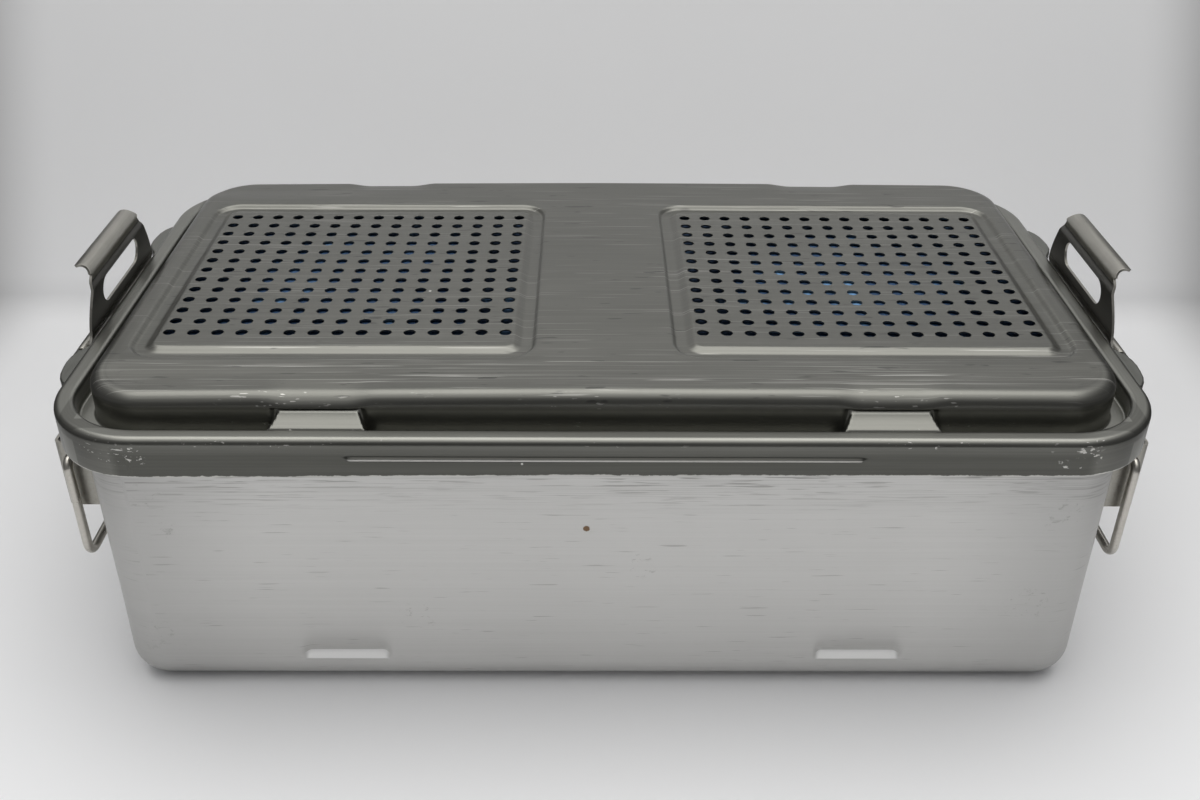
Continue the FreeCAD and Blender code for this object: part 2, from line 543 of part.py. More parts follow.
for k in range(3):
    z = 28.0 + k * 20.0
    for j in range(9):
        y = (j - 4) * BP
        if k == 2 and abs(y) < 70:
            continue
        bh.append(Part.makeCylinder(6.0, 2 * BK_HX + 10, V(-BK_HX - 5, y, z), V(1, 0, 0)))
basket_tray = bk.cut(Part.makeCompound(bh))

# rim rod of the basket
rim_rod_r = 2.0
rx, ry, rrad = BK_HX + rim_rod_r + 0.02, BK_HY + rim_rod_r + 0.02, BK_R + rim_rod_r
rim_path = rr_wire(-rx, rx, -ry, ry, rrad, BK_Z1 - rim_rod_r)
rim_prof = Part.Wire([Part.makeCircle(rim_rod_r, V(rx, ry - rrad, BK_Z1 - rim_rod_r), V(0, 1, 0))])
basket_rim = rim_path.makePipeShell([rim_prof], True, False)

# drop handles of the basket: wire loops turning in clips on the inside of each end wall
BH_X, BH_Z, BH_R = 241.5, 82.0, 2.0
BH_HY, BH_LEN = 50.0, 42.0


def basket_handle():
    x, z0 = -BH_X, BH_Z
    b = 7.0
    c45 = cos(radians(45))
    P = lambda y, z: V(x, y, z)
    e = []
    zt = z0 - BH_LEN
    yin = BH_HY - 9.0
    e.append(Part.LineSegment(P(-yin, z0), P(-BH_HY + 4, z0)).toShape())
    e.append(Part.Arc(P(-BH_HY + 4, z0), P(-BH_HY + 4 - 4 * c45, z0 - 4 + 4 * c45), P(-BH_HY, z0 - 4)).toShape())
    e.append(Part.LineSegment(P(-BH_HY, z0 - 4), P(-BH_HY, zt + b)).toShape())
    e.append(Part.Arc(P(-BH_HY, zt + b), P(-BH_HY + b - b * c45, zt + b - b * c45), P(-BH_HY + b, zt)).toShape())
    e.append(Part.LineSegment(P(-BH_HY + b, zt), P(BH_HY - b, zt)).toShape())
    e.append(Part.Arc(P(BH_HY - b, zt), P(BH_HY - b + b * c45, zt + b - b * c45), P(BH_HY, zt + b)).toShape())
    e.append(Part.LineSegment(P(BH_HY, zt + b), P(BH_HY, z0 - 4)).toShape())
    e.append(Part.Arc(P(BH_HY, z0 - 4), P(BH_HY - 4 + 4 * c45, z0 - 4 + 4 * c45), P(BH_HY - 4, z0)).toShape())
    e.append(Part.LineSegment(P(BH_HY - 4, z0), P(yin, z0)).toShape())
    wp = Part.Wire(e)
    prof = Part.Wire([Part.makeCircle(BH_R, P(-yin, z0), V(0, 1, 0))])
    return wp.makePipeShell([prof], True, False)


bh_l = basket_handle()
clips = []
for sy in (-1, 1):
    y0 = sy * (BH_HY - 7.0)
    y1 = sy * (BH_HY - 5.2 + 0.0)
    ylo, yhi = min(sy * 41.5, sy * 45.2), max(sy * 41.5, sy * 45.2)
    c = Part.makeCylinder(4.0, yhi - ylo, V(-BH_X, ylo, BH_Z), V(0, 1, 0))
    c = c.fuse(box(-BK_HX + BK_T + 0.02, -BH_X, ylo, yhi, BH_Z - 4.0, BH_Z + 4.0))
    c = c.cut(Part.makeCylinder(BH_R + 0.05, 20, V(-BH_X, ylo - 5, BH_Z), V(0, 1, 0)))
    clips.append(c)
cc = Part.makeCompound(clips)
basket_clips = Part.makeCompound(cc.Solids + mirror_x(cc).Solids)
feet = []
for sx in (-1, 1):
    for sy in (-1, 1):
        f = Part.makeCylinder(9.0, BK_Z0 - SHEET - 0.05, V(sx * 209.0, sy * 88.0, SHEET + 0.03))
        f = f.makeFillet(1.0, [e for e in f.Edges if abs(e.BoundBox.ZMax - (SHEET + 0.03)) < 1e-4])
        feet.append(f)
basket_feet = Part.makeCompound(feet)

# ================================================================ export
export("base_pan", base_pan)
export("handle_bracket_left", br_l)
export("handle_bracket_right", mirror_x(br_l))
export("bracket_rivets", bracket_rivets)
export("bail_handle_left", bail_l)
export("bail_handle_right", mirror_x(bail_l))
export("lid_shell", lid_shell)
export("lid_gasket", gasket)
export("latch_bracket_left", latch_bracket_l)
export("latch_bracket_right", mirror_x(latch_bracket_l))
export("latch_bracket_rivets", latch_rivets)
export("latch_pin_left", pin_l)
export("latch_pin_right", mirror_x(pin_l))
export("latch_left", latch_l)
export("latch_right", latch_r)
export("filter_sheet_left", filter_l)
export("filter_sheet_right", mirror_x(filter_l))
export("filter_retainer_left", ret)
export("filter_retainer_right", mirror_x(ret))
export("retainer_snaps_left", grommets_l)
export("retainer_snaps_right", mirror_x(grommets_l))
export("retainer_knob_left", knob_l)
export("retainer_knob_right", mirror_x(knob_l))
export("retainer_studs", retainer_studs)
export("basket_tray", basket_tray)
export("basket_rim_rod", basket_rim)
export("basket_handle_left", bh_l)
export("basket_handle_right", mirror_x(bh_l))
export("basket_handle_clips", basket_clips)
export("basket_feet", basket_feet)
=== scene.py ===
import bpy
import json
import math
import numpy as np
from mathutils import Vector, Matrix
from mathutils.geometry import delaunay_2d_cdt


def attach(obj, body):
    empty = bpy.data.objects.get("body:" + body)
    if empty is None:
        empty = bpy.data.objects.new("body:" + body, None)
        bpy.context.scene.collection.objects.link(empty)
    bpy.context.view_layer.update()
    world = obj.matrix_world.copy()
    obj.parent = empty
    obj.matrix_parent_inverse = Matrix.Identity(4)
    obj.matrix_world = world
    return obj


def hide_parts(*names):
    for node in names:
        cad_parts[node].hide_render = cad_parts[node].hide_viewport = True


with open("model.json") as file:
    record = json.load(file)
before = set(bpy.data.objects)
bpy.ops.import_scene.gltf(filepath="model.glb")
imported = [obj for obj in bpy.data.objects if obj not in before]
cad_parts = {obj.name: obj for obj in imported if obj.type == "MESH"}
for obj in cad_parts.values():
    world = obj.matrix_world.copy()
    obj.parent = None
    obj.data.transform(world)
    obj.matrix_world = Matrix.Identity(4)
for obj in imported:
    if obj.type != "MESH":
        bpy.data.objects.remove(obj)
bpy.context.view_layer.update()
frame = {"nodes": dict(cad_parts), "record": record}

MM = 0.001
rng = np.random.RandomState(7)


# =====================================================================
# numeric helpers (millimetres)
# =====================================================================
def sm(t):
    t = np.clip(t, 0.0, 1.0)
    return t * t * (3 - 2 * t)


def arc(cq, cz, r, a0, a1, n):
    """points of a circular arc in the (q, z) plane, angles in degrees"""
    return [(cq + r * math.cos(math.radians(a0 + (a1 - a0) * k / n)),
             cz + r * math.sin(math.radians(a0 + (a1 - a0) * k / n))) for k in range(n + 1)]


def waves(x, y, seed, scale, amp, n=6):
    """a smooth, seeded unevenness: a sum of a few long sine waves"""
    g = np.random.RandomState(seed)
    out = np.zeros_like(x, dtype=float)
    for _ in range(n):
        a = g.uniform(0, 2 * math.pi)
        k = 2 * math.pi / (scale * g.uniform(0.7, 1.6))
        out += np.sin(k * (x * math.cos(a) + y * math.sin(a)) + g.uniform(0, 6.28)) * g.uniform(0.4, 1.0)
    return amp * out / n


def mesh_object(name, verts, faces, normals=None, uv=None, material=None, smooth=True):
    """verts in mm; normals per vertex; uv per vertex in metres"""
    me = bpy.data.meshes.new(name)
    verts = np.asarray(verts, float)
    me.from_pydata((verts * MM).tolist(), [], [tuple(int(i) for i in f) for f in faces])
    me.validate(clean_customdata=False)
    me.update()
    if uv is not None:
        lay = me.uv_layers.new(name="along")
        idx = np.zeros(len(me.loops), np.int32)
        me.loops.foreach_get("vertex_index", idx)
        lay.data.foreach_set("uv", np.asarray(uv, np.float32)[idx].ravel())
    if smooth:
        me.polygons.foreach_set("use_smooth", [True] * len(me.polygons))
    if normals is not None:
        me.normals_split_custom_set_from_vertices([tuple(map(float, n)) for n in normals])
    ob = bpy.data.objects.new(name, me)
    bpy.context.scene.collection.objects.link(ob)
    if material is not None:
        me.materials.append(material)
    return ob


def vertex_normals(verts, faces):
    """area-weighted vertex normals of a triangle and quad list"""
    v = np.asarray(verts, float)
    n = np.zeros_like(v)
    tri, quad = [], []
    for f in faces:
        if len(f) == 3:
            tri.append(f)
        elif len(f) == 4:
            quad.append(f)
        else:
            for k in range(1, len(f) - 1):
                tri.append((f[0], f[k], f[k + 1]))
    if tri:
        t = np.array(tri)
        c = np.cross(v[t[:, 1]] - v[t[:, 0]], v[t[:, 2]] - v[t[:, 0]])
        for k in range(3):
            np.add.at(n, t[:, k], c)
    if quad:
        t = np.array(quad)
        c = np.cross(v[t[:, 2]] - v[t[:, 0]], v[t[:, 3]] - v[t[:, 1]])
        for k in range(4):
            np.add.at(n, t[:, k], c)
    ln = np.linalg.norm(n, axis=1)
    ln[ln < 1e-12] = 1
    return n / ln[:, None]


def boundary_loops(faces, nv):
    """directed boundary edges (a, b) of a face list"""
    seen = {}
    for f in faces:
        m = len(f)
        for k in range(m):
            a, b = f[k], f[(k + 1) % m]
            if (b, a) in seen:
                del seen[(b, a)]
            else:
                seen[(a, b)] = True
    return list(seen)


# =====================================================================
# stations round a rounded rectangle (front, right, back, left)
# =====================================================================
def stations(cx, cy, xs, ys, nc, qref):
    """xs: increasing values in [-cx, cx]; ys likewise; returns centre points, outward normals, running length"""
    P, N = [], []
    for x in xs:
        P.append((x, -cy)); N.append((0, -1))
    for k in range(1, nc):
        a = math.radians(-90 + 90 * k / nc)
        P.append((cx, -cy)); N.append((math.cos(a), math.sin(a)))
    for y in ys:
        P.append((cx, y)); N.append((1, 0))
    for k in range(1, nc):
        a = math.radians(90 * k / nc)
        P.append((cx, cy)); N.append((math.cos(a), math.sin(a)))
    for x in xs[::-1]:
        P.append((x, cy)); N.append((0, 1))
    for k in range(1, nc):
        a = math.radians(90 + 90 * k / nc)
        P.append((-cx, cy)); N.append((math.cos(a), math.sin(a)))
    for y in ys[::-1]:
        P.append((-cx, y)); N.append((-1, 0))
    for k in range(1, nc):
        a = math.radians(180 + 90 * k / nc)
        P.append((-cx, -cy)); N.append((math.cos(a), math.sin(a)))
    P, N = np.array(P, float), np.array(N, float)
    Q = P + N * qref
    d = np.linalg.norm(np.roll(Q, -1, 0) - Q, axis=1)
    U = np.concatenate([[0], np.cumsum(d)[:-1]])
    return P, N, U, d.sum()


def graded(lim, fine_at, fine_half, fine, coarse):
    """values from -lim to lim, finer near +-fine_at"""
    out = [0.0]
    x = 0.0
    while x < lim - 1e-6:
        st = fine if any(abs(x - f) < h for f, h in zip(fine_at, fine_half)) else coarse
        x = min(lim, x + st)
        out.append(x)
    if lim - out[-2] < 0.3 * coarse and len(out) > 3 and out[-1] - out[-2] < 0.3:
        out.pop(-2)
    pos = np.array(out)
    return np.concatenate([-pos[:0:-1], pos])


# =====================================================================
# lid shell
# =====================================================================
TOP = 188.0
PX, PY = 260.5, 140.0
CX, CY = 229.75, 109.25
DQ = 13.5                      # the profile offsets below are measured from |x| 243.25, |y| 122.75
FIELD_X, PITCH, HR = 141.35, 12.7, 3.175
GX0, GX1, GY0, GY1 = -234.5, -48.3, -90.5, 84.0
GR = 3.6
NX, NY = 15, 13
TH = 1.2


def crown(x, y, z):
    """the long, shallow crown of the plateau"""
    t = np.clip(np.abs(x) / 225.0, 0, 1.15)
    f = 0.34 + 0.66 * sm((np.abs(y) - 104.0) / 22.0)
    return -f * np.where(x < 0, 2.0 * t ** 1.2, 0.6 * t ** 2) * sm((z - 171.0) / 15.0)


def saddle(x, y):
    dx = np.abs(np.abs(x) - 141.0)
    return np.where(y < 0, 1.35, 1.75) * sm((30.0 - dx) / 17.0) * sm((np.abs(y) - 120.0) / 20.0)


GROOVE = [(0.0, 0.0), (0.5, -0.04), (1.1, -0.2), (1.8, -0.52), (2.7, -1.05), (3.6, -1.58), (4.4, -1.98), (5.1, -2.22), (5.9, -2.3),
          (7.6, -2.3), (9.2, -2.3), (9.9, -2.25), (10.5, -2.0), (11.1, -1.5), (11.7, -0.85), (12.3, -0.35), (12.9, -0.08), (13.6, 0.0)]


def rr_dist(x, y, x0, x1, y0, y1, r):
    """signed distance outside a rounded rectangle"""
    cx, cy = (x0 + x1) / 2, (y0 + y1) / 2
    ax = np.abs(x - cx) - ((x1 - x0) / 2 - r)
    ay = np.abs(y - cy) - ((y1 - y0) / 2 - r)
    return np.hypot(np.maximum(ax, 0), np.maximum(ay, 0)) + np.minimum(np.maximum(ax, ay), 0) - r


GRD = np.array([g[0] for g in GROOVE])
GRZ = np.array([g[1] for g in GROOVE])


def top_height(x, y):
    """height of the lid's outer skin over the plateau"""
    x, y = np.asarray(x, float), np.asarray(y, float)
    z = np.full_like(x, TOP)
    for sx, dish in ((-1, 0.7), (1, 1.3)):
        xm = -x if sx > 0 else x
        d = rr_dist(xm, y, GX0, GX1, GY0, GY1, GR)
        z = z + np.where((d > 0) & (d < 13.6), np.interp(d, GRD, GRZ), 0.0)
        cxm, cym = (GX0 + GX1) / 2, (GY0 + GY1) / 2
        u = np.clip(np.abs(xm - cxm) / ((GX1 - GX0) / 2), 0, 1)
        v = np.clip(np.abs(y - cym) / ((GY1 - GY0) / 2), 0, 1)
        z = z - dish * (1 - u ** 2) * (1 - v ** 2) * (d <= 0)
    z = z + crown(x, y, z) - saddle(x, y)
    edge = sm((PX - 14 - np.abs(x)) / 30.0) * sm((PY - 14 - np.abs(y)) / 30.0)
    z = z - 0.22 * edge + waves(x, y, 3, 170.0, 0.22) * edge
    return z


# ---- profile of the edge: plateau top -> rounding -> wall -> channel -> bead -> skirt
def lid_profiles():
    n, b, hw, tr = [], [], [], []

    def add(pn, pb, h, t):
        assert len(pn) == len(pb), (len(pn), len(pb))
        k = len(pn)
        n.extend(pn); b.extend(pb)
        hw.extend(list(np.linspace(h[0], h[1], k))); tr.extend([t] * k)

    # half width of the boss and length of its blended end, per group
    add([(7.25, 188), (8.8, 188)], [(7.25, 188), (8.2, 188)], (22.5, 22.5), 13.0)
    add(arc(10.25, 181, 7, 90, 0, 12), arc(9.25, 180, 8, 90, 0, 12), (22.5, 22.5), 13.0)
    add([(17.25, 179.6), (17.25, 177.5), (17.25, 174.5), (17.25, 171.0), (17.25, 167.8), (17.25, 165.6)],
        [(17.0, 179.8), (16.3, 179.78), (15.7, 179.65), (15.55, 179.35), (15.9, 178.9), (16.7, 178.15)], (23.0, 21.6), 4.0)
    add(arc(18.85, 164.6, 1.6, 180, 270, 5), [(17.4, 177.45), (18.1, 176.9), (18.9, 176.35), (19.8, 175.75), (20.8, 175.2), (21.8, 174.65)], (21.8, 23.8), 4.0)
    add([(21.0, 163.0), (23.0, 163.0)], [(22.7, 174.2), (23.4, 173.8)], (24.2, 24.6), 4.0)
    add(arc(24.5, 164.5, 1.5, 270, 360, 5), [(24.0, 173.5), (24.5, 173.25), (24.9, 173.05), (25.25, 172.85), (25.55, 172.5), (25.75, 172.15)], (24.8, 25.6), 4.0)
    add([(26.0, 167.0), (26.0, 169.5)], [(25.9, 171.95), (26.0, 172.0)], (25.8, 25.9), 4.0)
    add(arc(28.4, 171.0, 2.4, 180, 90, 7), [(26.1, 172.15), (26.2, 172.3)] + arc(28.4, 171.0, 2.4, 148, 90, 5), (26.0, 26.4), 4.5)
    rest = [(29.6, 173.4), (31.4, 173.4), (33.1, 173.4)]
    rest += arc(33.1, 169.75, 3.65, 90, 0, 12)[1:]
    rest += [(36.75, 167.6), (36.75, 166.2), (36.75, 165.0), (36.75, 164.2), (36.75, 163.7), (36.75, 163.35), (36.75, 162.95), (36.75, 162.4), (36.75, 161.8),
             (36.75, 161.4), (36.75, 161.0), (36.75, 160.5), (36.75, 159.8), (36.75, 158.5), (36.75, 156.3), (36.75, 154.6), (36.72, 153.9), (36.55, 153.5)]
    add(rest, rest, (0.0, 0.0), 4.0)
    return np.array(n), np.array(b), np.array(hw), np.array(tr), len(rest)


# rib pressed out of the long sides of the skirt: height of the rib by z
RIB = {165.0: -0.08, 164.2: -0.22, 163.7: -0.05, 163.35: 0.45, 162.95: 0.85, 162.4: 1.0, 161.8: 0.85, 161.4: 0.45, 161.0: 0.05, 160.5: -0.1}


def build_lid():
    xs = graded(CX, [141.0, 127.0], [34.0, 6.0], 1.25, 3.0)
    ys = np.linspace(-CY, CY, 62)
    P, N, U, per = stations(CX, CY, xs, ys, 30, 40.0)
    pn, pb, hw, tr, nrest = lid_profiles()
    ns, npf = len(P), len(pn)
    long_side = np.abs(N[:, 1]) > 0.999
    dx = np.abs(np.abs(P[:, 0]) - 141.0)
    # the boss ends lean: every profile point has its own half width
    w = sm((hw[None, :] + tr[None, :] / 2 - dx[:, None]) / tr[None, :]) * long_side[:, None] * (hw[None, :] > 1)
    q = pn[None, :, 0] * (1 - w) + pb[None, :, 0] * w
    z = pn[None, :, 1] * (1 - w) + pb[None, :, 1] * w
    # rib on the long sides of the skirt
    ribx = sm((127.5 - np.abs(P[:, 0])) / 4.0) * long_side
    for j in range(npf):
        if round(pn[j, 1], 2) in RIB and pn[j, 0] > 36:
            q[:, j] += RIB[round(pn[j, 1], 2)] * ribx
    x = P[:, None, 0] + N[:, None, 0] * (q + DQ)
    y = P[:, None, 1] + N[:, None, 1] * (q + DQ)
    # saddles and crown lower the plateau part; a soft unevenness on bead and skirt
    zt = top_height(x, y)
    upper = sm((z - 176.5) / 9.0)
    z = z + (zt - TOP) * upper * (np.arange(npf)[None, :] < 21)
    long_w = waves(U[:, None] + 0 * q, z, 11, 330.0, 0.28)
    skirt = (np.arange(npf) >= npf - nrest)[None, :] * sm((q - 27) / 9.0)
    q2 = long_w * skirt - 0.28 * skirt
    x = x + N[:, None, 0] * q2
    y = y + N[:, None, 1] * q2
    z = z + waves(U[:, None] + 0 * q, z, 12, 420.0, 0.16) * (np.arange(npf)[None, :] > 36) * sm((q - 24) / 4.0) + 0.05 * sm((q - 24) / 4.0)
    # the skirt's edge runs a little lower at its left end
    z = z - 1.9 * sm((160.0 - z) / 6.0) * np.clip(-x / 235.0, 0, 1.0) - 0.5 * sm((160.0 - z) / 6.0)
    # worn lower edge: never quite straight
    low = np.arange(npf)[None, :] >= npf - 2
    z = z + low * (waves(U[:, None] + 0 * q, 0 * q, 21, 60.0, 0.5) + 0.2)
    V = np.stack([x, y, z], -1).reshape(-1, 3)
    arcl = np.concatenate([[0], np.cumsum(np.hypot(np.diff(pn[:, 0]), np.diff(pn[:, 1])))])
    uv = np.stack([np.repeat(U, npf), np.tile(arcl, ns)], 1)
    F = []
    for i in range(ns):
        k = (i + 1) % ns
        a, b = i * npf, k * npf
        for j in range(npf - 1):
            F.append((a + j, a + j + 1, b + j + 1, b + j))
    # outline of the inner hole in the strip
    inner_ring = [i * npf for i in range(ns)]

    verts = [tuple(v) for v in V]
    uvs = [tuple(u) for u in uv]

    def add_pt(px, py):
        verts.append((px, py, float(top_height(px, py))))
        uvs.append((px, py))
        return len(verts) - 1

    hole_rings = []
    field_rings = []
    for sx in (-1, 1):
        cx = sx * (GX0 + GX1) / -2 * -1 if sx < 0 else -(GX0 + GX1) / 2
        cxm, cym = (GX0 + GX1) / 2 * (1 if sx < 0 else -1), (GY0 + GY1) / 2
        hx, hy = (GX1 - GX0) / 2, (GY1 - GY0) / 2
        gxs = np.linspace(-(hx - GR), hx - GR, 64)
        gys = np.linspace(-(hy - GR), hy - GR, 60)
        gp, gn, gu, gper = stations(hx - GR, hy - GR, gxs, gys, 14, GR)
        gp = gp + np.array([cxm, cym])
        rings = []
        for d in GRD:
            pts = gp + gn * (GR + d)
            zz = top_height(pts[:, 0], pts[:, 1])
            base = len(verts)
            verts.extend([(p[0], p[1], float(h)) for p, h in zip(pts, zz)])
            uvs.extend([(p[0], p[1]) for p in pts])
            rings.append(list(range(base, base + len(pts))))
        m = len(gp)
        for r in range(len(rings) - 1):
            A, B = rings[r], rings[r + 1]
            for k in range(m):
                kk = (k + 1) % m
                F.append((A[k], B[k], B[kk], A[kk]))
        field_rings.append((rings[0], rings[-1]))
        # holes
        circ = []
        nseg = 28
        for i in range(NX):
            for j in range(NY):
                hxp = sx * FIELD_X + (i - (NX - 1) / 2) * PITCH
                hyp = (j - (NY - 1) / 2) * PITCH
                circ.append((hxp, hyp))
        hr = []
        for hxp, hyp in circ:
            ang = np.arange(nseg) * 2 * math.pi / nseg
            pts = np.stack([hxp + (HR + 0.30) * np.cos(ang), hyp + (HR + 0.30) * np.sin(ang)], 1)
            zz = top_height(pts[:, 0], pts[:, 1])
            base = len(verts)
            verts.extend([(p[0], p[1], float(h)) for p, h in zip(pts, zz)])
            uvs.extend([(p[0], p[1]) for p in pts])
            hr.append((hxp, hyp, list(range(base, base + nseg))))
        hole_rings.append(hr)
        # triangulate the field between ring 0 and the hole rings
        extra = []
        for i in range(NX + 1):
            for j in range(NY + 1):
                ex = sx * FIELD_X + (i - NX / 2) * PITCH
                ey = (j - NY / 2) * PITCH
                if float(rr_dist(np.array(-abs(ex)), np.array(ey), GX0, GX1, GY0, GY1, GR)) < -1.5:
                    extra.append(add_pt(ex, ey))
        ids = list(rings[0])
        loops = [list(rings[0])]
        for hxp, hyp, ring in hr:
            ids += ring
            loops.append(ring)
        ids += extra
        loc = {g: k for k, g in enumerate(ids)}
        coords = [Vector((verts[g][0], verts[g][1])) for g in ids]
        edges = []
        for lp in loops:
            L = [loc[g] for g in lp]
            edges += [(L[k], L[(k + 1) % len(L)]) for k in range(len(L))]
        co, _, fc, ov, _, _ = delaunay_2d_cdt(coords, edges, [], 0, 1e-7)
        back = [None] * len(co)
        for k, src in enumerate(ov):
            back[k] = ids[src[0]] if src else add_pt(co[k][0], co[k][1])
        for f in fc:
            c = sum((co[k] for k in f), Vector((0, 0))) / len(f)
            ci = round((c[0] - sx * FIELD_X) / PITCH + (NX - 1) / 2)
            cj = round(c[1] / PITCH + (NY - 1) / 2)
            if 0 <= ci < NX and 0 <= cj < NY:
                hx_, hy_ = sx * FIELD_X + (ci - (NX - 1) / 2) * PITCH, (cj - (NY - 1) / 2) * PITCH
                if math.hypot(c[0] - hx_, c[1] - hy_) < HR:
                    continue
            if float(rr_dist(np.array(-abs(c[0])), np.array(c[1]), GX0, GX1, GY0, GY1, GR)) > 0.001:
                continue
            F.append(tuple(back[k] for k in f))
    # outer flat between the strip and the two groove rings
    ids = list(inner_ring)
    loops = [inner_ring]
    for _, ro in field_rings:
        ids += ro
        loops.append(ro)
    fx = np.arange(-248, 249, 5.0)
    fy = np.arange(-127, 128, 4.0)
    for xx in fx:
        for yy in fy:
            d = float(rr_dist(np.array(-abs(xx)), np.array(yy), GX0, GX1, GY0, GY1, GR))
            do = float(rr_dist(np.array(xx), np.array(yy), -250.5, 250.5, -130, 130, 20.75))
            if d > 15.5 and do < -1.8:
                ids.append(add_pt(xx, yy))
    loc = {g: k for k, g in enumerate(ids)}
    coords = [Vector((verts[g][0], verts[g][1])) for g in ids]
    edges = []
    for lp in loops:
        L = [loc[g] for g in lp]
        edges += [(L[k], L[(k + 1) % len(L)]) for k in range(len(L))]
    co, _, fc, ov, _, _ = delaunay_2d_cdt(coords, edges, [], 0, 1e-7)
    back = [None] * len(co)
    for k, src in enumerate(ov):
        back[k] = ids[src[0]] if src else add_pt(co[k][0], co[k][1])
    for f in fc:
        c = sum((co[k] for k in f), Vector((0, 0))) / len(f)
        d = float(rr_dist(np.array(-abs(c[0])), np.array(c[1]), GX0, GX1, GY0, GY1, GR))
        do = float(rr_dist(np.array(c[0]), np.array(c[1]), -250.5, 250.5, -130, 130, 20.75))
        if d < 13.59 or do > 0.01:
            continue
        F.append(tuple(back[k] for k in f))

    V = np.array(verts, float)
    # a loop over the faces that changes nothing
    for k, f in enumerate(F):
        pass
    nrm = vertex_normals(V, F)
    nv = len(V)
    inner = V - nrm * TH
    inner_n = -nrm
    # hole rims: two small rings each side, and the wall
    rim_v, rim_n, rim_f, rim_uv = [], [], [], []
    base2 = 2 * nv
    for hr in hole_rings:
        for hxp, hyp, ring in hr:
            m = len(ring)
            ang = np.arange(m) * 2 * math.pi / m
            c, s = np.cos(ang), np.sin(ang)
            zt = V[ring, 2]
            levels = [(HR + 0.10, -0.07, 0.75), (HR, -0.28, 0.12), (HR, -TH + 0.28, -0.12), (HR + 0.10, -TH + 0.07, -0.75)]
            prev = np.array(ring)
            for rad, dz, up in levels:
                st = base2 + len(rim_v)
                for k in range(m):
                    rim_v.append((hxp + rad * c[k], hyp + rad * s[k], zt[k] + dz))
                    nn = np.array([-c[k] * math.sqrt(1 - up * up), -s[k] * math.sqrt(1 - up * up), up])
                    rim_n.append(nn)
                    rim_uv.append((hxp + rad * c[k], hyp + rad * s[k]))
                cur = np.arange(st, st + m)
                for k in range(m):
                    kk = (k + 1) % m
                    rim_f.append((int(prev[k]), int(prev[kk]), int(cur[kk]), int(cur[k])))
                prev = cur
            last = np.array(ring) + nv
            for k in range(m):
                kk = (k + 1) % m
                rim_f.append((int(prev[k]), int(prev[kk]), int(last[kk]), int(last[k])))
            inner[ring] = np.stack([V[ring, 0], V[ring, 1], zt - TH], 1)
    allv = np.concatenate([V, inner, np.array(rim_v)])
    alln = np.concatenate([nrm, inner_n, np.array(rim_n)])
    alluv = np.concatenate([np.array(uvs), np.array(uvs), np.array(rim_uv)]) * MM
    faces = list(F) + [tuple(nv + k for k in f[::-1]) for f in F] + rim_f
    # close the lower edge of the skirt
    for i in range(ns):
        k = (i + 1) % ns
        a, b = i * npf + npf - 1, k * npf + npf - 1
        faces.append((a, a + nv, b + nv, b))
    return allv, faces, alln, alluv


